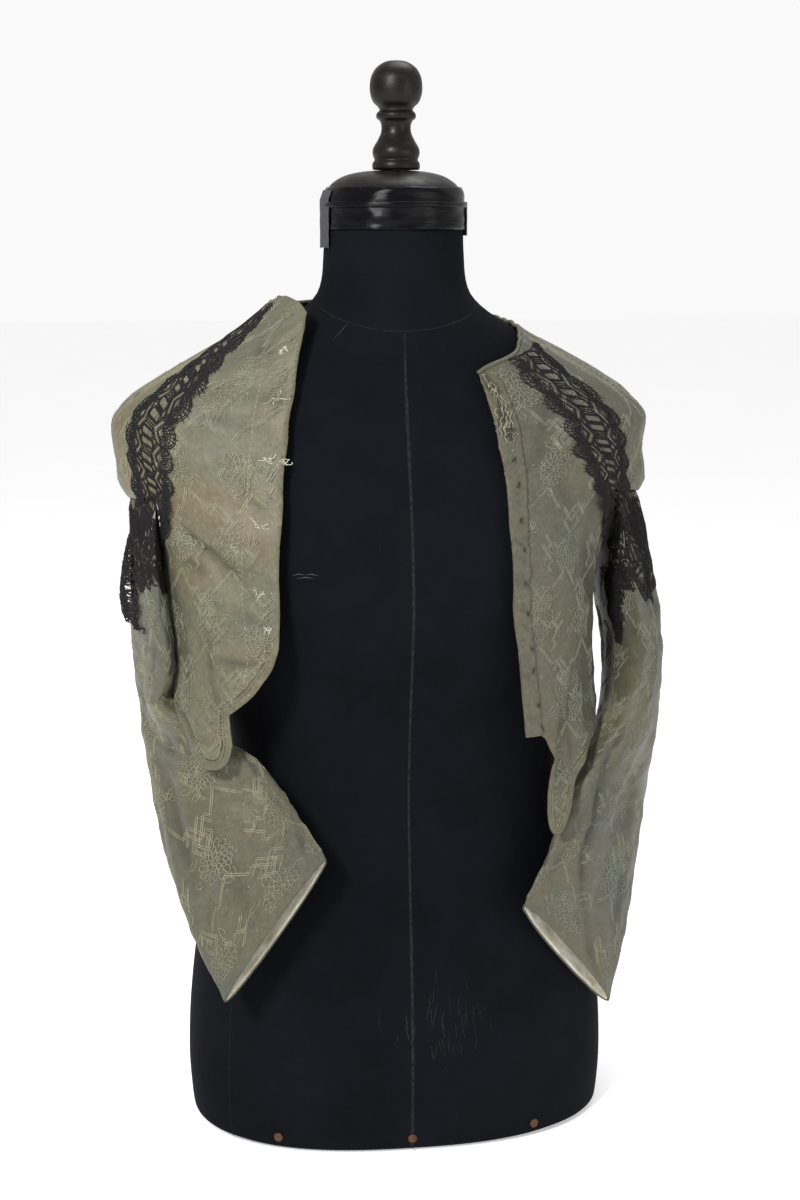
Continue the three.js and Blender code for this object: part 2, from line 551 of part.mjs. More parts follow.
// A piece of cloth on the body: outline, wall, and how far its middle lies outside the panels'.
function panel(outline, wall, lift) {
  const { places, triangles } = netOf(outline);
  const rim = rimOf(triangles);
  const drawn = places.map((place) => ({ ...place }));
  const pull = places.map(() => new THREE.Vector2());
  // Turn grows to the left side, seen from the front, so an outline that turns left faces out.
  const turnsLeft = triangles.reduce((sum, ids) => sum + signedArea(places, ids), 0) > 0;
  for (const [a, b] of rim) {
    const side = flat(places[b]).sub(flat(places[a])).normalize();
    const inward = new THREE.Vector2(-side.y, side.x).multiplyScalar(turnsLeft ? 1 : -1);
    pull[a].add(inward);
    pull[b].add(inward);
  }
  places.forEach((place, i) => {
    if (pull[i].lengthSq() === 0) return;
    const step = pull[i].normalize().multiplyScalar(SEAM);
    drawn[i].turn = place.turn + step.x / DEGREE;
    drawn[i].z = place.z + step.y;
  });
  const outer = drawn.map((place) => clothPoint(place.turn, place.z, lift + wall / 2));
  const inner = drawn.map((place) => clothPoint(place.turn, place.z, lift - wall / 2));
  const outward = turnsLeft ? triangles : triangles.map(([a, b, c]) => [a, c, b]);
  return wallFrom(outer, inner, outward);
}

// The back's outline runs past 180 degrees, so the right side's turns go on from there.
const unwind = (place) => ({ ...place, turn: place.turn < 0 ? place.turn + 360 : place.turn });
const unwound = (chain) => chain.map(unwind);

// ---- sleeves ---------------------------------------------------------------------------------
function sleeveSection(sleeve, along) {
  const keys = sleeve.rows.map((_, i) => i / (sleeve.rows.length - 1));
  const value = (name, t) => smooth(keys, column(sleeve.rows, name), t);
  const middle = (t) => new THREE.Vector3(value('x', t), value('y', t), value('z', t));
  const from = middle(Math.max(along - NEAR_ALONG, 0));
  const way = middle(Math.min(along + NEAR_ALONG, 1)).sub(from).normalize();
  const turn = THREE.MathUtils.degToRad(value('turn', along));
  const lift = THREE.MathUtils.degToRad(value('lift', along));
  const wideWay = new THREE.Vector3(
    Math.cos(turn) * Math.cos(lift),
    Math.sin(turn) * Math.cos(lift),
    Math.sin(lift),
  );
  const thinWay = way.clone().cross(wideWay).normalize().multiplyScalar(-sleeve.side);
  const sizes = { wide: value('wide', along), thin: value('thin', along) };
  return { middle: middle(along), way, wideWay, thinWay, ...sizes };
}

// Where the sleeve's top edge is sewn: round the cap's hem, then down the armhole and up again.
function armholeRing(sleeve, around) {
  const [front, back] = sleeve.hem;
  const lap = SILK + LIFT;
  if (around <= 180) {
    const t = around / 180;
    const atEnds = (2 * t - 1) ** 6;
    return clothPoint(THREE.MathUtils.lerp(front, back, t), CAP_HEM_Z - HEM_AIR, lap * atEnds);
  }
  const chain = [{ z: CAP_HEM_Z, turn: front }, ...sleeve.armhole, { z: CAP_HEM_Z, turn: back }];
  const reach = ((360 - around) / 180) * (chain.length - 1);
  const keys = chain.map((_, i) => i);
  const turn = smooth(keys, column(chain, 'turn'), reach);
  const z = smooth(keys, column(chain, 'z'), reach);
  return clothPoint(turn, Math.min(z, CAP_HEM_Z - HEM_AIR), lap);
}

function sleeveSkin(sleeve, around, along) {
  const section = sleeveSection(sleeve, along);
  const angle = THREE.MathUtils.degToRad(around);
  const point = section.middle.clone();
  point.addScaledVector(section.wideWay, section.wide * Math.cos(angle));
  point.addScaledVector(section.thinWay, section.thin * Math.sin(angle));
  const slant = Math.max(0, (along - CUFF_START) / (1 - CUFF_START)) ** 2;
  point.addScaledVector(section.way, (CUFF_SLANT * slant * (1 - Math.sin(angle))) / 2);
  if (along < ARMHOLE_BLEND) {
    const top = sleeveSection(sleeve, 0);
    const start = top.middle.clone();
    start.addScaledVector(top.wideWay, top.wide * Math.cos(angle));
    start.addScaledVector(top.thinWay, top.thin * Math.sin(angle));
    const share = (1 - along / ARMHOLE_BLEND) ** 2;
    point.addScaledVector(armholeRing(sleeve, around).sub(start), share);
  }
  return point;
}

function sleevePoint(sleeve, around, along, out) {
  const step = 1;
  const before = sleeveSkin(sleeve, (around + 360 - step) % 360, along);
  const round = sleeveSkin(sleeve, around + step, along).sub(before);
  const from = sleeveSkin(sleeve, around, Math.max(along - NEAR_ALONG, 0));
  const onward = sleeveSkin(sleeve, around, Math.min(along + NEAR_ALONG, 1)).sub(from);
  const normal = round.cross(onward).normalize().multiplyScalar(-sleeve.side);
  let deep = 0;
  for (const fold of sleeve.folds) {
    const dx0 = (fold.around0 - around) / 360;
    const dx1 = (fold.around1 - around) / 360;
    deep += fold.depth * foldShare(dx0, fold.along0 - along, dx1, fold.along1 - along, fold.reach);
  }
  return sleeveSkin(sleeve, around, along).addScaledVector(normal, out - deep);
}

// Share of the sleeve's length at a numbered station.
const stationAlong = (station) => (station / SLEEVE_ALONG) ** SLEEVE_CROWDING;

// Cloth round a sleeve at some stations, between two turns; a full turn closes into a tube.
// lift(share round, share along) is how far its middle lies outside the sleeve's.
function sleevePiece(sleeve, [start, end], stations, wall, lift, { rounds, endWidth = 1 }) {
  const columns = end - start >= 360 ? rounds : rounds + 1;
  const centre = (start + end) / 2;
  const outer = [];
  const inner = [];
  const last = stations.length - 1;
  stations.forEach((station, j) => {
    const along = stationAlong(station);
    const width = THREE.MathUtils.lerp(1, endWidth, j / last);
    for (let i = 0; i < columns; i += 1) {
      const full = THREE.MathUtils.lerp(start, end, i / rounds);
      const around = (centre + (full - centre) * width + 360) % 360;
      const out = lift(i / rounds, j / last);
      outer.push(sleevePoint(sleeve, around, along, out + wall / 2));
      inner.push(sleevePoint(sleeve, around, along, out - wall / 2));
    }
  });
  const id = (i, j) => j * columns + (i % columns);
  const triangles = [];
  for (let j = 0; j < last; j += 1) {
    for (let i = 0; i < rounds; i += 1) {
      const [a, b, c, d] = [id(i, j), id(i + 1, j), id(i + 1, j + 1), id(i, j + 1)];
      if (sleeve.side < 0) triangles.push([a, b, c], [a, c, d]);
      else triangles.push([a, c, b], [a, d, c]);
    }
  }
  return wallFrom(outer, inner, triangles);
}

function evenly(from, to, count) {
  return Array.from({ length: count + 1 }, (_, i) => from + ((to - from) * i) / count);
}

// ---- assembly --------------------------------------------------------------------------------
const jacket = new THREE.Group();

function addMesh(name, geometry, colour, roughness, metalness) {
  const material = new THREE.MeshStandardMaterial({ color: colour, roughness, metalness });
  const mesh = new THREE.Mesh(geometry, material);
  mesh.name = name;
  jacket.add(mesh);
  return mesh;
}

function addSilk(name, outline) {
  addMesh(name, panel(outline, SILK, 0), SILK_COLOUR, 0.6, 0);
}

addSilk('front_right', [
  ...RIGHT_FRONT_HEM, ...RIGHT_FRONT_EDGE, ...RIGHT_NECK, ...RIGHT_RAGLAN, ...RIGHT_ARMHOLE,
]);
addSilk('front_left', [
  ...LEFT_FRONT_HEM, ...LEFT_FRONT_EDGE, ...LEFT_NECK, ...LEFT_RAGLAN, ...LEFT_ARMHOLE,
]);
addSilk('cap_right', [
  ...RIGHT_RAGLAN, ...RIGHT_BACK_RAGLAN, ...reversed(RIGHT_SHOULDER_NECK),
]);
addSilk('cap_left', [
  ...LEFT_RAGLAN, ...LEFT_BACK_RAGLAN, ...reversed(LEFT_SHOULDER_NECK),
]);
addSilk('back', unwound([
  ...BACK_HEM, ...BACK_HEM_RIGHT, RIGHT_ARMHOLE.at(-1), ...RIGHT_BACK_ARMHOLE, ...RIGHT_BACK_RAGLAN,
  ...reversed(BACK_NECK_RIGHT), ...reversed(BACK_NECK), ...reversed(LEFT_BACK_RAGLAN),
  ...reversed(LEFT_BACK_ARMHOLE), LEFT_ARMHOLE.at(-1),
]));

const onPanel = (wall, air) => () => SILK / 2 + air + wall / 2;

function addSleeve(name, sleeve) {
  const round = [0, 360];
  const net = { rounds: SLEEVE_AROUND };
  const stations = evenly(0, SLEEVE_ALONG, SLEEVE_ALONG);
  const tube = sleevePiece(sleeve, round, stations, SILK, () => 0, net);
  addMesh(`sleeve_${name}`, tube, SILK_COLOUR, 0.6, 0);
  const bandNet = { rounds: ((BAND_TURNS[1] - BAND_TURNS[0]) / 360) * SLEEVE_AROUND };
  const over = onPanel(LACE, BAND_AIR);
  const band = sleevePiece(sleeve, BAND_TURNS, sleeve.bandStations, LACE, over, bandNet);
  addMesh(`lace_arm_${name}`, band, LACE_COLOUR, 0.8, 0);
  const inside = () => -(SILK / 2 + LIFT + FACING / 2);
  const cuff = sleevePiece(sleeve, round, stations.slice(-2), FACING, inside, net);
  addMesh(`cuff_facing_${name}`, cuff, FACING_COLOUR, 0.45, 0);
}
addSleeve('right', RIGHT_SLEEVE);
addSleeve('left', LEFT_SLEEVE);

function addYoke(name, outline) {
  addMesh(name, panel(outline, LACE, onPanel(LACE, LACE_AIR)()), LACE_COLOUR, 0.8, 0);
}
addYoke('lace_yoke_right', [...RIGHT_LACE_INNER, ...RIGHT_LACE_OUTER]);
addYoke('lace_yoke_left', [...LEFT_LACE_INNER, ...LEFT_LACE_OUTER]);

// A torn end of lace, crumpled on the outside of the right sleeve below the arm band.
function laceTuft() {
  const base = onPanel(LACE, LIFT)();
  const crumple = (u, v) => {
    const bulge = Math.sin(Math.PI * v) * Math.sin(Math.PI * (0.15 + 0.7 * u));
    return base + TUFT_RISE * bulge + TUFT_RUFFLE * v * (1 + Math.sin(9 * u + 4 * v));
  };
  return sleevePiece(RIGHT_SLEEVE, TUFT.turns, evenly(...TUFT.stations, TUFT.steps), LACE, crumple, TUFT);
}
addMesh('lace_tuft_right', laceTuft(), LACE_COLOUR, 0.8, 0);

// A loose point of lace that hangs from the left arm band, between the sleeve and the body.
function laceDrop() {
  const swing = (u, v) => onPanel(LACE, LIFT)() + DROP_SWING * v;
  return sleevePiece(LEFT_SLEEVE, DROP.turns, evenly(...DROP.stations, DROP.steps), LACE, swing, DROP);
}
addMesh('lace_drop_left', laceDrop(), LACE_COLOUR, 0.8, 0);

// The placket is a strip on the edge of the left front, from the neck to the hem.
const widened = (place) => ({ z: place.z, turn: place.turn + PLACKET_TURNS });
const placketInner = reversed(LEFT_FRONT_EDGE).map(widened);
const placket = panel([...LEFT_FRONT_EDGE, ...placketInner], PLACKET, onPanel(PLACKET, LIFT)());
addMesh('front_placket_left', placket, SILK_COLOUR, 0.6, 0);

// The neck binding is a narrow roll on the neck edge, from the left front round the back.
function neckBinding() {
  const edge = [
    LEFT_FRONT_EDGE.at(-1),
    ...LEFT_NECK,
    LEFT_RAGLAN[0],
    ...LEFT_SHOULDER_NECK,
    LEFT_BACK_RAGLAN.at(-1),
    ...unwound([...BACK_NECK, ...BACK_NECK_RIGHT, RIGHT_BACK_RAGLAN.at(-1)]),
  ];
  const rise = BINDING / 2 + SEAM;
  const points = edge.map((place) => {
    const foot = clothPoint(place.turn, place.z, 0);
    const up = clothPoint(place.turn, place.z + 1, 0).sub(foot).normalize();
    return clothPoint(place.turn, place.z, BINDING_OUT).addScaledVector(up, rise);
  });
  const route = new THREE.CatmullRomCurve3(points, false, 'centripetal');
  const section = new THREE.Shape();
  for (let i = 0; i < BINDING_SIDES; i += 1) {
    const angle = (2 * Math.PI * i) / BINDING_SIDES;
    const [x, y] = [Math.cos(angle) * (BINDING / 2), Math.sin(angle) * (BINDING / 2)];
    if (i === 0) section.moveTo(x, y);
    else section.lineTo(x, y);
  }
  section.closePath();
  const roll = new THREE.ExtrudeGeometry(section, { steps: BINDING_STEPS, extrudePath: route });
  return solid(roll);
}
addMesh('neck_binding', neckBinding(), SILK_COLOUR, 0.55, 0);

function formPoint(turn, z) {
  const [side, front, back] = ['side', 'front', 'back'].map((name) => atHeight(FORM, name, z));
  const point = sectionPoint(turn, side, side, front, back, atHeight(FORM, 'power', z));
  return new THREE.Vector3(point.x, point.y, z);
}

// The form is solid: rings of points, closed flat at the base and at the top of the neck.
function formTorso() {
  const rings = FORM.map((row) => row.z);
  const positions = [];
  for (const z of rings) {
    for (let i = 0; i < FORM_SIDES; i += 1) {
      positions.push(formPoint(-180 + (360 * i) / FORM_SIDES, z));
    }
  }
  const low = positions.push(new THREE.Vector3(0, 0, 0)) - 1;
  const high = positions.push(new THREE.Vector3(0, 0, NECK_TOP_Z)) - 1;
  const faces = [];
  const topRing = (rings.length - 1) * FORM_SIDES;
  for (let i = 0; i < FORM_SIDES; i += 1) {
    const next = (i + 1) % FORM_SIDES;
    for (let j = 0; j + 1 < rings.length; j += 1) {
      const row = j * FORM_SIDES;
      faces.push([row + i, row + next, row + FORM_SIDES + next]);
      faces.push([row + i, row + FORM_SIDES + next, row + FORM_SIDES + i]);
    }
    faces.push([low, next, i]);
    faces.push([high, topRing + i, topRing + next]);
  }
  return bareGeometry(positions, faces);
}
addMesh('form_torso', formTorso(), FORM_COLOUR, 0.85, 0);

// A turned piece round the form's axis, from its profile of radii and heights.
function turned(profile, sides) {
  const points = profile.map((row) => new THREE.Vector2(row.r, row.z));
  return solid(new THREE.LatheGeometry(points, sides).rotateX(Math.PI / 2));
}

addMesh('form_cap', turned(CAP_PROFILE, CAP_SIDES), WOOD_COLOUR, 0.45, 0);
addMesh('form_knob', turned(KNOB_PROFILE, KNOB_SIDES), WOOD_COLOUR, 0.45, 0).position.x = KNOB_X;
addMesh('form_tape', turned(TAPE_PROFILE, CAP_SIDES), TAPE_COLOUR, 0.15, 0);

// Matt patches of tape over the ends of the glossy tape, on the two sides of the neck.
function tapePatch({ turn0, turn1, low, high }) {
  const outer = [];
  const inner = [];
  const triangles = [];
  for (let j = 0; j <= PATCH_ROWS; j += 1) {
    const z = THREE.MathUtils.lerp(low, high, j / PATCH_ROWS);
    for (let i = 0; i <= PATCH_ROUNDS; i += 1) {
      const angle = THREE.MathUtils.degToRad(THREE.MathUtils.lerp(turn0, turn1, i / PATCH_ROUNDS));
      const way = new THREE.Vector3(Math.sin(angle), -Math.cos(angle), 0);
      outer.push(way.clone().multiplyScalar(PATCH_RADIUS + PATCH / 2).setZ(z));
      inner.push(way.clone().multiplyScalar(PATCH_RADIUS - PATCH / 2).setZ(z));
    }
  }
  for (let j = 0; j < PATCH_ROWS; j += 1) {
    for (let i = 0; i < PATCH_ROUNDS; i += 1) {
      const a = j * (PATCH_ROUNDS + 1) + i;
      const b = a + PATCH_ROUNDS + 1;
      triangles.push([a, a + 1, b + 1], [a, b + 1, b]);
    }
  }
  return wallFrom(outer, inner, triangles);
}
for (const patch of TAPE_PATCHES) addMesh(patch.name, tapePatch(patch), PATCH_COLOUR, 0.8, 0);

// Tacks hold the form's cover at the foot: small domes that stand on its surface.
function tack(turn) {
  const dome = turned([
    { r: 0, z: 0 },
    { r: TACK_RADIUS, z: 0 },
    { r: TACK_RADIUS * 0.8, z: TACK_HEIGHT * 0.6 },
    { r: 0, z: TACK_HEIGHT },
  ], TACK_SIDES);
  const step = 0.5;
  const round = formPoint(turn + step, TACK_Z).sub(formPoint(turn - step, TACK_Z));
  const rise = formPoint(turn, TACK_Z + step).sub(formPoint(turn, TACK_Z - step));
  const normal = round.cross(rise).normalize();
  const facing = new THREE.Quaternion().setFromUnitVectors(new THREE.Vector3(0, 0, 1), normal);
  dome.applyQuaternion(facing);
  const foot = formPoint(turn, TACK_Z).addScaledVector(normal, LIFT);
  return dome.translate(foot.x, foot.y, foot.z);
}
TACK_TURNS.forEach((turn, i) => addMesh(`form_tack_${i + 1}`, tack(turn), TACK_COLOUR, 0.6, 0.6));

export default jacket;
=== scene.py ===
# %% [markdown]
# # A worn silk jacket on a dress form
# The object is a short damask jacket with black lace over its shoulders. It stands on a limbless
# dress form: a jersey-covered torso with a wooden cap and a turned knob. The solids that carry the
# sizes are already in the frame. Here each of them gets its real surface: creased cloth, woven
# figures, open lace, wood grain, tape and rust. All lengths in the tables are millimetres.

# %% Frame
import math
import random

import bmesh
import bpy
import numpy as np
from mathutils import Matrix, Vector, noise


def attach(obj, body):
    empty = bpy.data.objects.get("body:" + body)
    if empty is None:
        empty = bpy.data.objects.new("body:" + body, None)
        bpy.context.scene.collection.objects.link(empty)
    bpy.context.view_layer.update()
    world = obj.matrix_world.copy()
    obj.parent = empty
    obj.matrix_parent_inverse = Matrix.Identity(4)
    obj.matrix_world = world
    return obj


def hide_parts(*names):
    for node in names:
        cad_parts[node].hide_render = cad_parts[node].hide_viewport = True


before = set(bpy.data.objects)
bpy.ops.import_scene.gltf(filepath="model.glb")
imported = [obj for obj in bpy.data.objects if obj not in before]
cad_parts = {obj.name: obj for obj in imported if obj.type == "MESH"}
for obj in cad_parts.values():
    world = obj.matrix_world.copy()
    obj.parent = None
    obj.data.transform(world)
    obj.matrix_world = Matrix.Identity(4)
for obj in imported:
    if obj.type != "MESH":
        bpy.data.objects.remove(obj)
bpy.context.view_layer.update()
MM = 0.001

# %% [markdown]
# ## Camera, floor and light
# The camera stands a little to the object's right and looks down on it slightly. A long lens keeps
# the shoulders from swelling. The room is a pale floor under a white sky, with two large soft
# lamps, so that the black jersey stays black and the silk shows its relief.

# %% Camera, floor and light
scene = bpy.context.scene
CAMERA_AT = (-0.1805, -1.4690, 0.7170)
CAMERA_WAY = (0.1228, 0.9724, -0.1985)
LENS = 56.73


def place(data, name, at, way):
    thing = bpy.data.objects.new(name, data)
    scene.collection.objects.link(thing)
    thing.location = at
    thing.rotation_euler = Vector(way).to_track_quat("-Z", "Y").to_euler()
    return thing


camera = bpy.data.cameras.new("camera")
camera.lens = LENS
camera.sensor_width = 36
camera.clip_end = 50
scene.camera = place(camera, "camera", CAMERA_AT, CAMERA_WAY)


def lamp(name, at, aim, size, power, colour=(1, 1, 1)):
    light = bpy.data.lights.new(name, "AREA")
    light.shape = "DISK"
    light.size = size
    light.energy = power
    light.color = colour
    place(light, name, at, Vector(aim) - Vector(at))


MIDDLE = (0, 0, 0.42)
lamp("key", (-1.05, -1.6, 1.6), MIDDLE, 0.4, 48)
lamp("fill", (1.5, -1.5, 0.7), MIDDLE, 1.2, 9)
lamp("top", (0.3, 0.4, 2.0), MIDDLE, 1.0, 12)

sky = bpy.data.worlds.new("sky")
sky.use_nodes = True
background = sky.node_tree.nodes["Background"]
background.inputs["Color"].default_value = (1, 1, 1, 1)
background.inputs["Strength"].default_value = 0.62
backdrop = sky.node_tree.nodes.new("ShaderNodeBackground")
backdrop.inputs["Color"].default_value = (1, 1, 1, 1)
backdrop.inputs["Strength"].default_value = 0.95
light_path = sky.node_tree.nodes.new("ShaderNodeLightPath")
mix_sky = sky.node_tree.nodes.new("ShaderNodeMixShader")
sky.node_tree.links.new(light_path.outputs["Is Camera Ray"], mix_sky.inputs["Fac"])
sky.node_tree.links.new(background.outputs[0], mix_sky.inputs[1])
sky.node_tree.links.new(backdrop.outputs[0], mix_sky.inputs[2])
sky.node_tree.links.new(mix_sky.outputs[0], sky.node_tree.nodes["World Output"].inputs["Surface"])
scene.world = sky
scene.view_settings.view_transform = "Standard"

floor_bm = bmesh.new()
bmesh.ops.create_grid(floor_bm, x_segments=1, y_segments=1, size=12)
floor_data = bpy.data.meshes.new("floor")
floor_bm.to_mesh(floor_data)
floor_bm.free()
floor = bpy.data.objects.new("floor", floor_data)
scene.collection.objects.link(floor)
print("camera and", len(bpy.data.lights), "lamps")

# %% [markdown]
# ## One surface for the whole body of the jacket
# A place on the jacket's body is a turn in degrees round the form (0 at the front, minus to the
# wearer's right) and a height. Two small tables give the level sections and how far the cloth
# stands off them, and soft troughs carve its folds. Every panel, lace band and thread below is
# drawn flat, as turn times 2.4 against height, and then laid on this surface, so they all meet.

# %% The body surface
DEGREE = 2.4  # millimetres that one degree of turn covers, near enough
BODY_POWER = 2.5
# height, then half-widths to the left and right and depths to the front and back
BODY = np.array([
    (200, 158, 182, 138, 112), (330, 157, 181, 136, 106), (430, 157, 180, 130, 106),
    (475, 163, 182, 124, 110), (510, 174, 190, 114, 112), (545, 191, 211, 100, 109),
    (568, 196, 213, 90, 104), (585, 182, 194, 84, 99), (600, 160, 168, 80, 94),
    (615, 134, 140, 77, 88), (630, 107, 110, 73, 81), (645, 82, 84, 69, 73),
    (660, 68, 68, 63, 66), (680, 66, 66, 62, 64),
], float)
EASE_TURNS = [-180, -130, -90, -65, -45, -20, 20, 45, 65, 90, 130, 180]
# height, then how far the cloth stands off at each of those turns
EASE = np.array([
    (240, 3, 3, 3, 20, 24, 14, 12, 22, 18, 3, 3, 3),
    (300, 3, 3, 1, 14, 24, 14, 8, 18, 12, 3, 3, 3),
    (340, 3, 3, 1, 8, 19, 10, 5, 11, 5, -1, 2, 3),
    (380, 2, 2, 1, 4, 12, 8, 3, 5, 2, -4, 0, 2),
    (430, 2, 2, 1, 4, 6, 4, 2, 3, 1, -4, 0, 2),
    (480, 2, 3, 4, 5, 5, 3, 2, 3, 2, 2, 2, 2),
    (520, 2, 3, 18, 5, 3, 2, 2, 3, 6, 22, 4, 2),
    (545, 2, 3, 7, 4, 3, 2, 2, 2.5, 3.5, 5, 2.5, 2),
    (570, 2, 3, 3, 3, 3, 2, 2, 2, 2, 0, 2, 2),
    (600, 2, 3, 3, 3, 4, 4, 1, 1, 0, -1, 0.5, 2),
    (625, 2, 4, 6, 6, 8, 8, 1, 0, -1, -2, -0.5, 2),
    (650, 2, 8, 16, 16, 15, 12, 0, 0, -1, -2, -0.5, 2),
    (680, 2, 8, 16, 16, 15, 12, 0, 0, -1, -1, 0, 2),
], float)


def smooth(keys, values, at):
    """Smooth value at each place between keys; values is one row, or one row for each place."""
    keys = np.asarray(keys, float)
    at = np.clip(np.asarray(at, float).ravel(), keys[0], keys[-1])
    values = np.asarray(values, float)
    if values.ndim == 1:
        values = np.broadcast_to(values, (at.size, values.size))
    last = keys.size - 1
    i = np.clip(np.searchsorted(keys, at, side="right") - 1, 0, last - 1)
    before, after = np.maximum(i - 1, 0), np.minimum(i + 2, last)
    row = np.arange(at.size)
    here, there = values[row, i], values[row, i + 1]
    run = keys[i + 1] - keys[i]
    slope0 = (there - values[row, before]) / (keys[i + 1] - keys[before]) * run
    slope1 = (values[row, after] - here) / (keys[after] - keys[i]) * run
    t = (at - keys[i]) / run
    bend = slope0 * t * (1 - t) ** 2 + slope1 * t * t * (t - 1)
    return here + (there - here) * t * t * (3 - 2 * t) + bend


def unit(vectors):
    return vectors / np.maximum(np.linalg.norm(vectors, axis=-1, keepdims=True), 1e-12)


def section(turn, left, right, front, back, power):
    """Point of a level section: a rounded rectangle with its own size to each side."""
    angle = np.radians(turn)
    across = np.sign(np.sin(angle)) * np.abs(np.sin(angle)) ** (2 / power)
    ahead = np.sign(np.cos(angle)) * np.abs(np.cos(angle)) ** (2 / power)
    x = across * np.where(across < 0, right, left)
    return x, -ahead * np.where(ahead > 0, front, back)


def body_point(turn, z):
    sizes = [smooth(BODY[:, 0], BODY[:, k], z) for k in (1, 2, 3, 4)]
    x, y = section(turn, *sizes, BODY_POWER)
    return np.stack([x, y, z], -1)


def fold_share(dx0, dy0, dx1, dy1, reach):
    """Share of a fold's depth: full on its line, soft to its sides, tapering to its ends."""
    span_x, span_y = dx1 - dx0, dy1 - dy0
    along = -(dx0 * span_x + dy0 * span_y) / (span_x**2 + span_y**2)
    held = np.clip(along, 0, 1)
    away = np.hypot(dx0 + held * span_x, dy0 + held * span_y) / reach
    return np.exp(-away * away) * (0.35 + 0.65 * np.sin(np.pi * held))


# The folds: turn and height of one end, of the other end, depth (below 0 stands proud), reach.
BODY_FOLDS = [
    (-66, 492, -38, 452, 6, 9), (-58, 420, -47, 345, 4, 9), (-34, 560, -60, 545, 3, 9),
    (46, 356, 40, 290, 4, 7), (56, 380, 52, 335, 3, 8), (38, 560, 34, 500, 2.5, 9),
    (-200, 470, -184, 350, 4, 12), (-150, 500, -160, 360, 4, 12), (-128, 440, -112, 480, 3, 10),
    (-236, 430, -246, 480, 3, 10),
]


def near_turn(turn, centre):
    return turn + 360 * np.round((centre - turn) / 360)


def folds_at(folds, turn, z):
    total = np.zeros_like(z)
    for turn0, z0, turn1, z1, depth, reach in folds:
        here = near_turn(turn, turn0)
        dx0, dx1 = (turn0 - here) * DEGREE, (turn1 - here) * DEGREE
        total += depth * fold_share(dx0, z0 - z, dx1, z1 - z, reach)
    return total


def crumple(x, y, size):
    """Small uneven waves, a few centimetres long, from crossed sines bent by each other."""
    bent = x + 7 * np.sin(y / 19) + 4 * np.sin(x / 13 + y / 31)
    other = y + 6 * np.sin(x / 17 + 1.3) + 3 * np.sin(y / 11 - x / 23)
    waves = np.sin(bent / 6.1 + other / 14) * np.sin(other / 8.3 - bent / 21)
    return size * (waves + 0.5 * np.sin(bent / 3.7 - other / 5.1) * np.sin(other / 17 + 2))


def cloth_point(turn, z, out, creases=(), rough=0.0):
    """Points of the body surface, in millimetres, moved out along its normal."""
    turn, z = np.asarray(turn, float).ravel(), np.asarray(z, float).ravel()
    step = 0.5
    across = body_point(turn + step, z) - body_point(turn - step, z)
    rise = body_point(turn, z + step) - body_point(turn, z - step)
    normal = unit(np.cross(across, rise))
    wrapped = near_turn(turn, 0)
    rough = rough * (1 - np.exp(-(((180 - np.abs(wrapped)) / 10) ** 2)))
    levels = np.stack([smooth(EASE[:, 0], EASE[:, k + 1], z) for k in range(len(EASE_TURNS))], -1)
    stand = smooth(EASE_TURNS, levels, wrapped) - folds_at(BODY_FOLDS, turn, z)
    stand = stand - folds_at(creases, turn, z) + crumple(wrapped * DEGREE, z, rough)
    return body_point(turn, z) + normal * (stand + out)[:, None]

# %% [markdown]
# ## The sleeves' surface
# An empty sleeve hangs as a flat tube. A table gives its middle, half-width, half-thickness and
# direction at even steps from armhole to cuff. Round it, 0 is the front fold, 90 the outer side,
# 180 the back fold and 270 the inner side. Its top eases into the armhole and the cap's hem.

# %% The sleeve surface
UNDERARM_Z, CAP_HEM_Z, HEM_AIR, LAP = 462, 513, 1.4, 2.0
ARMHOLE_BLEND, CUFF_SLANT, CUFF_START = 0.16, 7, 0.7
RIGHT_ARMHOLE = [(495, -72.5), (477, -79), (UNDERARM_Z, -90)]  # height, turn
RIGHT_BACK_ARMHOLE = [(477, -101), (495, -107.5)]
LEFT_ARMHOLE = [(495, 69.5), (477, 78), (UNDERARM_Z, 90)]
LEFT_BACK_ARMHOLE = [(477, 102), (495, 109)]
# rows: x, y, z, half-width, half-thickness, turn and lift of the way to the front fold
SLEEVES = {
    "right": {
        "side": -1, "hem": (-68.5, -111.5), "armhole": RIGHT_ARMHOLE + RIGHT_BACK_ARMHOLE,
        "rows": np.array([
            (-199, 0, 488, 62, 10, -90, 0), (-193.5, -3, 430, 70, 12, -84, 0),
            (-191.5, -12, 385, 68, 13, -81, 0), (-189.5, -12, 352, 54, 14.5, -85, 4),
            (-177, -35, 323, 50, 16.5, -68, 16), (-156, -76, 294, 56, 17, -45, 32),
            (-138.5, -103, 258, 58, 15, -20, 44), (-123, -118, 225, 63, 12.5, -8, 50),
            (-106.5, -130, 196, 66, 8, 0, 54.8),
        ], float),
        "folds": [(60, 0.3, 110, 0.62, 4, 0.05), (40, 0.62, 75, 0.85, 3, 0.05)],
    },
    "left": {
        "side": 1, "hem": (62.5, 114), "armhole": LEFT_ARMHOLE + LEFT_BACK_ARMHOLE,
        "rows": np.array([
            (189, 0, 488, 60, 15, -90, 0), (186, -6, 430, 66, 20, -90, 0),
            (192, -16, 378, 67, 22, -92, 2), (185.5, -34, 325, 65, 24.5, -105, 8),
            (165.5, -60, 277, 61, 22.5, -122, 18), (152, -80, 236, 59, 17, -134, 30),
            (139, -93, 193, 62, 13, -143, 41), (124.5, -102, 155, 67, 8, -150, 48.2),
        ], float),
        "folds": [(70, 0.35, 96, 0.95, 5, 0.05), (42, 0.05, 50, 0.5, 6, 0.05)],
    },
}


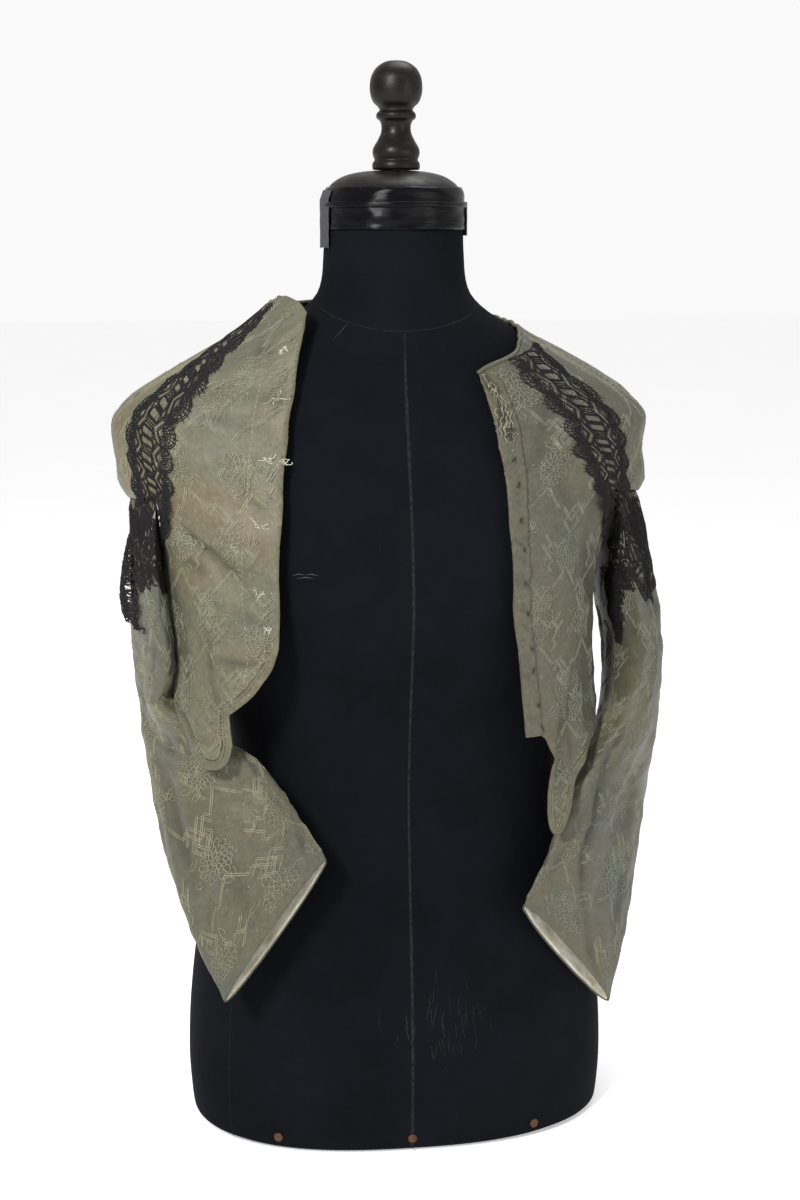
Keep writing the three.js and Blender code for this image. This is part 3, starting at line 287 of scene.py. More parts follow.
def sleeve_section(sleeve, along):
    rows = sleeve["rows"]
    keys = np.linspace(0, 1, len(rows))

    def value(k, t):
        return smooth(keys, rows[:, k], t)

    def middle(t):
        return np.stack([value(0, t), value(1, t), value(2, t)], -1)

    way = unit(middle(np.minimum(along + 0.01, 1)) - middle(np.maximum(along - 0.01, 0)))
    turn, lift = np.radians(value(5, along)), np.radians(value(6, along))
    level = np.cos(lift)
    wide_way = np.stack([np.cos(turn) * level, np.sin(turn) * level, np.sin(lift)], -1)
    thin_way = unit(np.cross(way, wide_way)) * -sleeve["side"]
    return middle(along), way, wide_way, thin_way, value(3, along), value(4, along)


def armhole_ring(sleeve, around):
    """Where the top edge is sewn: round the cap's hem, then down the armhole and up again."""
    front, back = sleeve["hem"]
    t = around / 180
    over = cloth_point(front + (back - front) * t, np.full_like(t, CAP_HEM_Z - HEM_AIR),
                       LAP * np.clip(2 * t - 1, -1, 1) ** 6)
    chain = np.array([(CAP_HEM_Z, front), *sleeve["armhole"], (CAP_HEM_Z, back)], float)
    reach = (360 - around) / 180 * (len(chain) - 1)
    keys = np.arange(len(chain))
    turn, z = smooth(keys, chain[:, 1], reach), smooth(keys, chain[:, 0], reach)
    under = cloth_point(turn, np.minimum(z, CAP_HEM_Z - HEM_AIR), LAP)
    return np.where((around <= 180)[:, None], over, under)


def sleeve_skin(sleeve, around, along):
    around = np.mod(around, 360)
    middle, way, wide_way, thin_way, wide, thin = sleeve_section(sleeve, along)
    across, deep = np.cos(np.radians(around)), np.sin(np.radians(around))
    point = middle + wide_way * (wide * across)[:, None] + thin_way * (thin * deep)[:, None]
    slant = np.maximum(0, (along - CUFF_START) / (1 - CUFF_START)) ** 2
    point = point + way * (CUFF_SLANT * slant * (1 - deep) / 2)[:, None]
    top = sleeve_section(sleeve, np.zeros_like(along))
    start = top[0] + top[2] * (top[4] * across)[:, None] + top[3] * (top[5] * deep)[:, None]
    share = np.clip(1 - along / ARMHOLE_BLEND, 0, 1) ** 2
    return point + (armhole_ring(sleeve, around) - start) * share[:, None]


def sleeve_folds(folds, around, along):
    deep = np.zeros_like(along)
    for around0, along0, around1, along1, depth, reach in folds:
        here = near_turn(around, around0)
        dx0, dx1 = (around0 - here) / 360, (around1 - here) / 360
        deep += depth * fold_share(dx0, along0 - along, dx1, along1 - along, reach)
    return deep


def sleeve_point(sleeve, around, along, out, creases=(), rough=0.0):
    """Points of a sleeve, in millimetres. creases: around, along, around, along, depth, reach."""
    around, along = np.asarray(around, float).ravel(), np.asarray(along, float).ravel()
    across = sleeve_skin(sleeve, around + 1, along) - sleeve_skin(sleeve, around - 1, along)
    start = sleeve_skin(sleeve, around, np.maximum(along - 0.01, 0))
    onward = sleeve_skin(sleeve, around, np.minimum(along + 0.01, 1)) - start
    normal = unit(np.cross(across, onward)) * -sleeve["side"]
    deep = sleeve_folds([*sleeve["folds"], *creases], around, along)
    calm = 1 - np.exp(-(((near_turn(around, 270) - 270) / 22) ** 2))
    wrapped = near_turn(around, 90)
    deep = deep - crumple(wrapped * 0.9, along * 420, rough) * calm
    return sleeve_skin(sleeve, around, along) + normal * (out - deep)[:, None]

# %% [markdown]
# ## Finishes
# Each finish is one small node tree on a Principled shader. Numbers that are the same all over sit
# on the shader's own sockets, and only what changes over the surface comes through nodes: the
# faded patches of the silk, its fine rib and specks, the grain of the wood, dust on the jersey.
# Cloth reads the piece's own flat drawing as its UV map, in metres, so a weave follows the cut.

# %% Finishes
def finish(name, roughness, **sockets):
    """A new material, a function that adds a node to it, and one that links an output to its shader."""
    made = bpy.data.materials.new(name)
    made.use_nodes = True
    tree = made.node_tree
    shader = tree.nodes["Principled BSDF"]
    shader.inputs["Roughness"].default_value = roughness
    for key, value in sockets.items():
        shader.inputs[key.replace("_", " ")].default_value = value

    def add(kind, out=0, settings=None, **inputs):
        added = tree.nodes.new("ShaderNode" + kind)
        for key, value in (settings or {}).items():
            setattr(added, key, value)
        for key, value in inputs.items():
            socket = added.inputs[int(key[1:])] if key[1:].isdigit() else added.inputs[key.replace("_", " ")]
            if isinstance(value, bpy.types.NodeSocket):
                tree.links.new(value, socket)
            else:
                socket.default_value = value
        return added.outputs[out]

    def put(socket, value):
        tree.links.new(value, shader.inputs[socket])

    return made, add, put


def noise_at(add, where, scale, detail=3, rough=0.5, stretch=(1, 1, 1)):
    moved = add("Mapping", Vector=where, Scale=stretch)
    return add("TexNoise", Vector=moved, Scale=scale, Detail=detail, Roughness=rough)


def steps(add, value, *stops):
    """A colour for each level of value: stops are (level, (r, g, b))."""
    ramp = add("ValToRGB", Fac=value).node
    elements = ramp.color_ramp.elements
    while len(elements) < len(stops):
        elements.new(0.5)
    for element, (level, colour) in zip(elements, stops):
        element.position = level
        element.color = (*colour, 1)
    return ramp.outputs["Color"]


def mixed(add, share, first, second, blend="MIX"):
    settings = {"data_type": "RGBA", "blend_type": blend}
    made = add("Mix", settings=settings, i0=share, i6=first, i7=second).node
    return made.outputs["Result"] if made.outputs["Result"].enabled else made.outputs[2]


def bumped(add, height, strength, distance):
    return add("Bump", Height=height, Strength=strength, Distance=distance)


def grey(level):
    return (level, level, level)


# Painted shade: the dark colour that the silk is mixed towards in its creases.
CREASE_SHADE_COLOUR = (0.022, 0.02, 0.014, 1)


def silk_finish(name, warm, cool, stain, specks):
    made, add, put = finish(name, 0.5, Specular_IOR_Level=0.3, Sheen_Weight=0.06, Sheen_Roughness=0.4)
    flat = add("UVMap")
    patch = noise_at(add, flat, 9, 4, 0.55)
    colour = steps(add, patch, (0.38, warm), (0.62, cool))
    stains = steps(add, noise_at(add, flat, 21, 5, 0.65), (0.58, grey(0)), (0.74, grey(0.75)))
    colour = mixed(add, stains, colour, (*stain, 1))
    cloth = noise_at(add, flat, 900, 2, 0.6, (1, 0.3, 1))
    ground = steps(add, cloth, (0.3, grey(0.8)), (0.7, grey(1.12)))
    colour = mixed(add, 1.0, colour, ground, "MULTIPLY")
    cloud = steps(add, noise_at(add, flat, 150, 3, 0.7), (0.3, grey(0.78)), (0.7, grey(1.12)))
    colour = mixed(add, 1.0, colour, cloud, "MULTIPLY")
    # Painted shade in the creases: the stored fold depth darkens the colour.
    crease_shade = add("Attribute", out=2, settings={"attribute_name": "fold"})
    colour = mixed(add, crease_shade, colour, CREASE_SHADE_COLOUR)
    if specks:
        dots = add("TexVoronoi", Vector=flat, Scale=92, Randomness=0.45)
        colour = mixed(add, steps(add, dots, (0.05, grey(0.75)), (0.085, grey(0))), colour, (*specks, 1))
    put("Base Color", colour)
    rib = noise_at(add, flat, 330, 5, 0.75, (1, 0.4, 1))
    put("Normal", bumped(add, rib, 0.7, 0.0007))
    put("Roughness", steps(add, patch, (0.3, grey(0.42)), (0.7, grey(0.56))))
    return made


WARM, COOL, STAIN = (0.128, 0.108, 0.062), (0.096, 0.097, 0.066), (0.088, 0.064, 0.036)
SILK = silk_finish("silk damask", WARM, COOL, STAIN, (0.2, 0.19, 0.13))
# Silk of the left side, darker and greyer: the greyer tone is the cloth's own, and on the right sleeve its
# darkness is painted shade.
SILK_LEFT = silk_finish("silk damask, darker and greyer", (0.09, 0.08, 0.05), (0.07, 0.074, 0.056),
                        (0.07, 0.055, 0.034), (0.16, 0.16, 0.12))
FIGURE = silk_finish("woven figure", (0.235, 0.218, 0.14), (0.19, 0.202, 0.14), (0.15, 0.122, 0.075), None)
# Figures of the left side, darker and greyer than those on the right.
FIGURE_LEFT = silk_finish("woven figure, darker and greyer", (0.205, 0.196, 0.138), (0.168, 0.184, 0.143),
                          (0.14, 0.12, 0.08), None)
SHADOW = silk_finish("figure's shaded side", (0.05, 0.041, 0.022), (0.036, 0.037, 0.026),
                     (0.034, 0.026, 0.015), None)
THREAD = silk_finish("pale thread", (0.5, 0.47, 0.36), (0.42, 0.41, 0.33), (0.3, 0.25, 0.17), None)


def satin_finish():
    made, add, put = finish("satin facing", 0.34, Specular_IOR_Level=0.6, Sheen_Weight=0.2)
    flat = add("UVMap")
    dirt = noise_at(add, flat, 70, 5, 0.7, (1, 2.2, 1))
    colour = steps(add, dirt, (0.3, (0.2, 0.17, 0.11)), (0.5, (0.4, 0.37, 0.28)), (0.74, (0.6, 0.6, 0.54)))
    put("Base Color", colour)
    put("Normal", bumped(add, noise_at(add, flat, 500, 3, 0.6, (1, 0.2, 1)), 0.3, 0.0004))
    return made


def lace_finish():
    made, add, put = finish("black lace thread", 0.6, Specular_IOR_Level=0.12)
    flat = add("UVMap")
    twist = noise_at(add, flat, 700, 3, 0.7)
    put("Base Color", steps(add, twist, (0.3, (0.004, 0.0036, 0.0038)), (0.75, (0.02, 0.018, 0.018))))
    put("Normal", bumped(add, twist, 0.7, 0.0006))
    return made


def jersey_finish():
    made, add, put = finish("black jersey", 0.92, Specular_IOR_Level=0.06)
    where = add("TexCoord", out=3)
    dust = noise_at(add, where, 7, 6, 0.7)
    colour = steps(add, dust, (0.35, (0.0028, 0.003, 0.0045)), (0.75, (0.006, 0.0064, 0.0088)))
    chalk = steps(add, noise_at(add, where, 160, 4, 0.8, (1, 1, 0.5)), (0.70, grey(0)), (0.80, grey(0.35)))
    put("Base Color", mixed(add, chalk, colour, (0.05, 0.05, 0.055, 1)))
    knit = noise_at(add, where, 1100, 2, 0.5, (1, 1, 0.6))
    put("Normal", bumped(add, knit, 0.5, 0.0005))
    return made


def wood_finish():
    made, add, put = finish("varnished wood", 0.27, Specular_IOR_Level=0.22)
    where = add("TexCoord", out=3)
    grain = noise_at(add, where, 24, 6, 0.65, (1, 1, 7))
    put("Base Color", steps(add, grain, (0.32, (0.0016, 0.0013, 0.0011)), (0.55, (0.0045, 0.0034, 0.0026)),
                            (0.78, (0.018, 0.012, 0.0078))))
    put("Roughness", steps(add, noise_at(add, where, 60, 5, 0.7), (0.35, grey(0.26)), (0.7, grey(0.55))))
    put("Normal", bumped(add, noise_at(add, where, 130, 4, 0.7, (1, 1, 4)), 0.35, 0.0006))
    return made


def plain_finish(name, roughness, dark, light, scale, bump, stretch=(1, 1, 1), **sockets):
    made, add, put = finish(name, roughness, **sockets)
    where = add("TexCoord", out=3)
    spots = noise_at(add, where, scale, 5, 0.7, stretch)
    put("Base Color", steps(add, spots, (0.35, dark), (0.7, light)))
    put("Normal", bumped(add, spots, 0.6, bump))
    return made


SATIN = satin_finish()
LACE = lace_finish()
JERSEY = jersey_finish()
WOOD = wood_finish()
TAPE = plain_finish("glossy tape", 0.1, (0.0008, 0.0008, 0.0012), (0.002, 0.002, 0.0028), 55, 0.0012,
                    (1, 1, 5), Specular_IOR_Level=0.13)
PATCH = plain_finish("matt cloth tape", 0.85, (0.03, 0.03, 0.033), (0.055, 0.055, 0.06), 420, 0.0004)
RUST = plain_finish("rusted tack", 0.75, (0.03, 0.014, 0.008), (0.15, 0.062, 0.025), 700, 0.0004,
                    Metallic=0.3)
BROWN = plain_finish("rust-stained thread", 0.8, (0.014, 0.009, 0.005), (0.055, 0.036, 0.02), 900, 0.0003)
SEAM = plain_finish("jersey seam", 0.9, (0.006, 0.006, 0.0075), (0.022, 0.022, 0.024), 300, 0.0003,
                    Specular_IOR_Level=0.05)
CHALK = plain_finish("chalk mark", 0.95, (0.045, 0.045, 0.05), (0.11, 0.11, 0.12), 900, 0.0002,
                     Specular_IOR_Level=0.05)
FLOOR = plain_finish("pale floor", 0.7, (0.90, 0.90, 0.90), (0.93, 0.93, 0.93), 3, 0.0002,
                     Emission_Color=(1, 1, 1, 1), Emission_Strength=0.36)
floor.data.materials.append(FLOOR)
print(len(bpy.data.materials), "finishes")

# %% [markdown]
# ## From a flat drawing to a piece of cloth
# Cloth is drawn flat, as its cutter would, and only then laid on the body or sleeve surface. The
# flat drawing stays on as the UV map. A thread, cord or seam line is a strip with a raised middle:
# its centre line is extruded to both sides, and each new point carries the way it has to move.

# %% Making pieces
def add_piece(bm, name, finish_of, replaces=(), wall=0.0):
    data = bpy.data.meshes.new(name)
    bm.to_mesh(data)
    bm.free()
    data.polygons.foreach_set("use_smooth", [True] * len(data.polygons))
    data.materials.append(finish_of)
    piece = bpy.data.objects.new(name, data)
    scene.collection.objects.link(piece)
    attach(piece, "root")
    if replaces:
        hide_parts(*replaces)
    if wall:
        made = piece.modifiers.new("wall", "SOLIDIFY")
        made.thickness = wall * MM
        made.offset = -1
    return piece


def lay(bm, surface, out=0.0, folds=None):
    """Keeps the flat drawing as a UV map and lays its points on a surface; their z is their height."""
    bm.verts.index_update()
    flat = np.array([vert.co[:] for vert in bm.verts])
    # The fold depths are kept as the "fold" attribute, which the silk finishes use for painted crease shade.
    if folds is not None:
        fold = bm.verts.layers.float.new("fold")
        for vert, deep in zip(bm.verts, np.clip(folds(flat[:, 0], flat[:, 1]) * 0.24, 0, 0.72)):
            vert[fold] = deep
    uv = bm.loops.layers.uv.new("flat")
    for face in bm.faces:
        for loop in face.loops:
            loop[uv].uv = flat[loop.vert.index, :2] * MM
    for vert, point in zip(bm.verts, surface(flat[:, 0], flat[:, 1], flat[:, 2] + out) * MM):
        vert.co = point
    return bm


def strips(lines, width, height, taper=0.0):
    """Flat threads with a raised middle along lines of (x, y); a line back to its start is closed."""
    bm = bmesh.new()
    aside = bm.verts.layers.float_vector.new("aside")
    for line in lines:
        points = np.array(line, float)
        closed = len(points) > 3 and np.hypot(*(points[0] - points[-1])) < 1e-6
        points = points[:-1] if closed else points
        if len(points) < 2:
            continue
        way = np.roll(points, -1, 0) - np.roll(points, 1, 0)
        if not closed:
            way[0], way[-1] = points[1] - points[0], points[-1] - points[-2]
        way = unit(way)
        share = np.linspace(-1, 1, len(points))
        half = width / 2 * (1 - taper * np.abs(share) ** 3)
        chain = [bm.verts.new((x, y, height)) for x, y in points]
        for vert, (x, y), reach in zip(chain, way, half):
            vert[aside] = (-y * reach, x * reach, -height)
        for first, second in zip(chain, chain[1:] + chain[:1] if closed else chain[1:]):
            bm.edges.new((first, second))
    middle = bm.edges[:]
    for sign in (1, -1):
        made = bmesh.ops.extrude_edge_only(bm, edges=middle)["geom"]
        for vert in (item for item in made if isinstance(item, bmesh.types.BMVert)):
            shift = vert[aside]
            vert.co += Vector((shift.x * sign, shift.y * sign, shift.z))
    for face in bm.faces:
        face.normal_update()
    bmesh.ops.reverse_faces(bm, faces=[face for face in bm.faces if face.normal.z < 0])
    return bm


# %% Lines and outlines
def reach_of(points):
    """Distance from a line's start to each of its points."""
    return np.concatenate([[0], np.cumsum(np.hypot(*np.diff(points, axis=0).T))])


def sampled(points, step=3.0):
    """A smooth line through flat places, with a point about every step."""
    points = np.array(points, float)
    reach = reach_of(points)
    at = np.linspace(0, reach[-1], max(2, int(reach[-1] / step) + 1))
    return np.stack([smooth(reach, points[:, 0], at), smooth(reach, points[:, 1], at)], -1)


def curve(chain, step=4.0):
    """The same through (height, turn) places of the body surface."""
    return sampled([(turn * DEGREE, z) for z, turn in chain], step)


def ring_of(*chains):
    """A flat outline from chains, each smooth within itself, with corners where they meet."""
    points = np.concatenate([curve(chain) if len(chain) > 1 else
                             np.array([(chain[0][1] * DEGREE, chain[0][0])]) for chain in chains])
    keep = np.hypot(*(points - np.roll(points, 1, 0)).T) > 0.4
    return points[keep]


def flat_area(outline):
    x, y = outline.T
    return 0.5 * (np.dot(x, np.roll(y, -1)) - np.dot(y, np.roll(x, -1)))


# %% Cutting a net
def cut_net(outline, step):
    """A flat face over an outline, cut into cells by two sets of lines."""
    points = outline if flat_area(outline) > 0 else outline[::-1]
    bm = bmesh.new()
    bm.faces.new([bm.verts.new((x, y, 0)) for x, y in points])
    low, high = points.min(0), points.max(0)
    for axis in (0, 1):
        for at in np.arange(low[axis] + step / 2, high[axis], step):
            centre, normal = [0, 0, 0], [0, 0, 0]
            centre[axis], normal[axis] = at, 1
            everything = bm.verts[:] + bm.edges[:] + bm.faces[:]
            bmesh.ops.bisect_plane(bm, geom=everything, dist=1e-3, plane_co=centre, plane_no=normal)
    bmesh.ops.remove_doubles(bm, verts=bm.verts[:], dist=0.35)
    return bm


def away_from(points, line, closed=True):
    """Distance from each point to a line of points."""
    ends = np.roll(line, -1, 0) if closed else line[1:]
    starts = line if closed else line[:-1]
    least = np.full(len(points), 1e9)
    for start, end in zip(starts, ends):
        span = end - start
        t = np.clip(((points - start) @ span) / max(span @ span, 1e-9), 0, 1)
        least = np.minimum(least, np.hypot(*(points - start - t[:, None] * span).T))
    return least


def inside(points, outline):
    x, y = points.T
    hit = np.zeros(len(points), bool)
    for (x0, y0), (x1, y1) in zip(outline, np.roll(outline, -1, 0)):
        crosses = (y0 > y) != (y1 > y)
        edge_x = x0 + (y - y0) * (x1 - x0) / (y1 - y0 if y1 != y0 else 1e-9)
        hit ^= crosses & (x < edge_x)
    return hit


def sheet_size(outline):
    width, length = np.ptp(outline, axis=0)
    return round(float(width), 1), round(float(length), 1), round(abs(float(flat_area(outline))))


print("helpers ready")

# %% [markdown]
# ## The cut of the jacket
# These chains are its seam lines and edges, each a row of (height, turn) places. A panel's outline
# is a few chains put end to end, anticlockwise as seen from outside. Where two panels are sewn they
# share a chain, so their seam closes by itself.

# %% Seam lines and edges
RIGHT_EDGE = [
    (408, -27.7), (436, -27.5), (472, -27.2), (515, -24), (557, -19.4), (585, -20.5),
    (602, -24.3), (618, -29.7), (630, -35.8), (640, -42.3),
]
RIGHT_HEM = [
    (358, -90), (354, -78), (349, -68), (343, -60), (335, -55.3), (324, -51.5), (318, -48),
    (317, -44.7), (319, -42.2), (325, -40), (337, -39),
]
RIGHT_NOTCH = [(337, -39), (348, -40), (358, -40.8)]
RIGHT_FRONT_HEM = [(358, -40.8), (365, -37.5), (373, -34.3), (383, -31.7), (393, -29.4), (408, -27.7)]
RIGHT_NECK = [(640, -42.3), (644, -50), (646.5, -62), (646, -75), (643, -85)]
RIGHT_RAGLAN = [
    (643, -85), (631, -81), (618, -73.6), (609, -65.5), (597, -59.5), (587, -57.4), (576, -56.4),
    (565, -57.5), (551, -60), (533, -64.1), (CAP_HEM_Z, -68.5),
]
RIGHT_BACK_RAGLAN = [
    (CAP_HEM_Z, -111.5), (533, -115), (551, -118), (568, -120), (585, -121), (600, -120.5),
    (614, -119), (628, -117.5), (643, -117),
]
RIGHT_SHOULDER_NECK = [(643, -117), (643, -106), (643, -95), (643, -85)]
LEFT_EDGE = [
    (337, 25.8), (369, 25.2), (401, 24.2), (423, 22.9), (462, 22), (489, 20.3), (525, 17.8),
    (553, 15), (579, 14.1), (602, 15.3),
]
LEFT_HEM = [
    (350, 90), (346, 78), (339, 66), (330, 56), (318, 48.5), (304, 43.3), (288, 40.3), (271, 37.8),
    (262, 35.8), (261, 33.2), (268, 31.9), (286, 31.7), (303, 32.5), (318, 34.9),
]
LEFT_FRONT_HEM = [(318, 34.9), (327, 33.2), (336, 31.4), (337, 25.8)]
LEFT_NECK = [(602, 15.3), (606, 18.7), (610, 24.6), (615, 33.3), (619, 39), (623, 43.5)]
LEFT_RAGLAN = [
    (623, 43.5), (611, 38.5), (601, 37.2), (591, 38), (581, 38.2), (568, 39.5), (554, 43.5),
    (543, 48.3), (529, 55), (CAP_HEM_Z, 62.5),
]
LEFT_BACK_RAGLAN = [
    (CAP_HEM_Z, 114), (533, 118.5), (551, 121.5), (568, 124), (585, 126.5), (600, 128.5),
    (614, 129.5), (628, 130), (641, 130),
]
LEFT_SHOULDER_NECK = [(623, 43.5), (629, 54), (634, 68), (637, 84), (639, 100), (640, 115), (641, 130)]
BACK_NECK = [
    (641, 130), (645, 145), (649, 163), (650, 180), (649, 197), (646, 215), (644, 230), (643, 243),
]
BACK_HEM = [
    (350, 90), (341, 112), (334, 135), (330, 158), (329, 180), (330, 202), (335, 225), (345, 248),
    (358, 270),
]
CAP_RIGHT_HEM = [(CAP_HEM_Z, turn) for turn in (-68.5, -79, -90, -101, -111.5)]
CAP_LEFT_HEM = [(CAP_HEM_Z, turn) for turn in (62.5, 75, 88, 101, 114)]


def turned_on(chain):
    return [(z, turn + 360 if turn < 0 else turn) for z, turn in chain]


def back(chain):
    return chain[::-1]


RIGHT_ARM = [RIGHT_RAGLAN[-1], *RIGHT_ARMHOLE]
LEFT_ARM = [LEFT_RAGLAN[-1], *LEFT_ARMHOLE]
RIGHT_BACK_ARM = [RIGHT_ARMHOLE[-1], *RIGHT_BACK_ARMHOLE, RIGHT_BACK_RAGLAN[0]]
LEFT_BACK_ARM = [LEFT_ARMHOLE[-1], *LEFT_BACK_ARMHOLE, LEFT_BACK_RAGLAN[0]]
RIGHT_SIDE, LEFT_SIDE = [(UNDERARM_Z, -90), (358, -90)], [(UNDERARM_Z, 90), (350, 90)]
# each panel: its chains, then which of them are free edges
PANELS = {
    "front_right": ([RIGHT_HEM, RIGHT_NOTCH, RIGHT_FRONT_HEM, RIGHT_EDGE, RIGHT_NECK, RIGHT_RAGLAN,
                     RIGHT_ARM, RIGHT_SIDE], (0, 1, 2, 3, 4)),
    "front_left": ([back(LEFT_NECK), back(LEFT_EDGE), back(LEFT_FRONT_HEM), back(LEFT_HEM), back(LEFT_SIDE),
                    back(LEFT_ARM), back(LEFT_RAGLAN)], (0, 1, 2, 3)),
    "cap_right": ([RIGHT_RAGLAN, CAP_RIGHT_HEM, RIGHT_BACK_RAGLAN, RIGHT_SHOULDER_NECK], (1, 3)),
    "cap_left": ([LEFT_RAGLAN, CAP_LEFT_HEM, LEFT_BACK_RAGLAN, back(LEFT_SHOULDER_NECK)], (1, 3)),
    "back": ([BACK_HEM, turned_on(back(RIGHT_SIDE)), turned_on(RIGHT_BACK_ARM), turned_on(RIGHT_BACK_RAGLAN),
              back(BACK_NECK), back(LEFT_BACK_RAGLAN), back(LEFT_BACK_ARM), LEFT_SIDE], (0, 4)),
}
OUTLINES = {name: ring_of(*chains) for name, (chains, _) in PANELS.items()}
for name, outline in OUTLINES.items():
    print(name, sheet_size(outline))

# %% [markdown]
# ## Creases
# Cloth that has hung for long keeps its creases. Each row is one soft trough, from one place to
# another. The front's rows follow the folds that pull from the armhole, the bust and the hem; the
# sides and the back get rows of the same kind. A fine crumple runs over everything.

# %% Creases of the body
# turn and height of both ends, depth (below 0 stands proud), reach to each side
CREASES = [
    (-63.4, 489, -48.6, 475, 2.2, 4), (-48.6, 475, -38.2, 458, 1.6, 4), (-47, 396, -32.2, 394, 1.5, 4),
    (-51.4, 423, -48.2, 380, 1.3, 3.5), (-48.2, 380, -42.2, 357, 1.0, 3.5), (-50.6, 593, -32.6, 589, 0.9, 4),
    (-32.6, 589, -19, 584, 0.8, 4), (-51.4, 621, -37.4, 612, 1.2, 4), (-46, 606, -28, 603, -0.7, 4),
    (-44, 574, -26, 568, 0.7, 4), (-60, 452, -45, 436, -1.4, 6), (-64, 470, -50, 458, 1.2, 5),
    (-70, 440, -62, 400, 1.0, 5), (-78, 455, -72, 420, -1.2, 6), (-55, 510, -40, 500, -1.0, 6),
    (-36, 540, -31, 500, 0.8, 5), (-40, 430, -31, 424, 0.8, 4), (-62, 395, -57, 356, 0.9, 4),
    (39.8, 354, 37, 326, 1.6, 3.5), (37, 326, 35, 295, 1.4, 3.5), (45.8, 380, 40.6, 336, 1.4, 4),
    (29.4, 583, 25.8, 555, 1.0, 5), (25.8, 555, 25.4, 537, 0.8, 5), (34, 523, 42, 500, 0.9, 5),
    (52, 470, 62, 430, 1.1, 6), (60, 500, 52, 480, -1.0, 6), (33, 440, 40, 405, 0.7, 6),
    (66, 455, 78, 430, 1.2, 6), (30, 600, 34, 575, 0.8, 4), (70, 400, 62, 350, 1.0, 6),
    (48, 330, 44, 305, -0.9, 4), (30, 500, 29, 470, -0.8, 5),
    (112, 440, 128, 470, 1.2, 6), (118, 400, 140, 420, 1.0, 6), (135, 560, 150, 520, 1.2, 7),
    (150, 600, 165, 575, 0.9, 6), (165, 480, 172, 400, 1.1, 7), (188, 500, 180, 430, -1.0, 7),
    (200, 600, 212, 570, 1.0, 6), (222, 540, 208, 500, 1.2, 7), (232, 450, 244, 480, 1.2, 6),
    (238, 400, 250, 372, 1.0, 6), (214, 380, 208, 345, 1.0, 6), (160, 372, 156, 340, 1.0, 6),
    (128, 372, 120, 350, 0.9, 6), (-82, 590, -96, 560, 1.0, 6), (-100, 610, -108, 570, 1.0, 6),
    (76, 590, 92, 560, 1.0, 6), (98, 610, 110, 570, 1.0, 6), (-86, 540, -100, 525, 0.9, 5),
    (72, 545, 86, 528, 0.9, 5),
]
CREASE_DEPTH = 1.7  # the creases have set harder than the tables say
SILK_OUT, SILK_WALL, ROUGH = 0.5, 0.9, 0.6
BODY_CELL = 3.0


def deepened(rows):
    return [(*ends, CREASE_DEPTH * depth, reach) for *ends, depth, reach in rows]


DEEP_CREASES = deepened(CREASES)
print(len(DEEP_CREASES), "creases")


def on_body(x, y, out):
    return cloth_point(x / DEGREE, y, out, DEEP_CREASES, ROUGH)


def body_folds(x, y):
    return folds_at(DEEP_CREASES, x / DEGREE, y)


# %% Body panels
def seam_relief(points, name):
    """Troughs along the seams; free edges are folded over, so they are fuller."""
    chains, free = PANELS[name]
    height = np.zeros(len(points))
    for i, chain in enumerate(chains):
        away = away_from(points, curve(chain), closed=False)
        if i in free:
            height += 0.35 * np.exp(-((away - 2.4) / 2) ** 2) - 0.3 * np.exp(-((away - 6.5) / 1.6) ** 2)
        else:
            height -= 0.55 * np.exp(-((away / 1.8) ** 2))
    return height


SILK_OF = {"front_left": SILK_LEFT, "cap_left": SILK_LEFT}
for name, outline in OUTLINES.items():
    net = cut_net(outline, BODY_CELL)
    points = np.array([vert.co[:2] for vert in net.verts])
    for vert, height in zip(net.verts, seam_relief(points, name)):
        vert.co.z = height
    lay(net, on_body, SILK_OUT, body_folds)
    cloth = add_piece(net, name + ".silk", SILK_OF.get(name, SILK), [name], SILK_WALL)
    print(cloth.name, len(cloth.data.polygons), "faces")

# %% [markdown]
# ## Sleeves
# A sleeve is a grid of cells bent round and closed along its inner side. Satin facings line the
# cuffs, and show because the back of each cuff hangs a little lower than its front.

# %% Sleeves and cuff facings
AROUND, ALONG = 0.74, 355  # millimetres a degree round a sleeve covers, and a sleeve's length
SEAM_AT = -90
SLEEVE_CELL = 2.6
FACING_FROM, FACING_TO = 0.928, 0.997  # shares of the sleeve's length
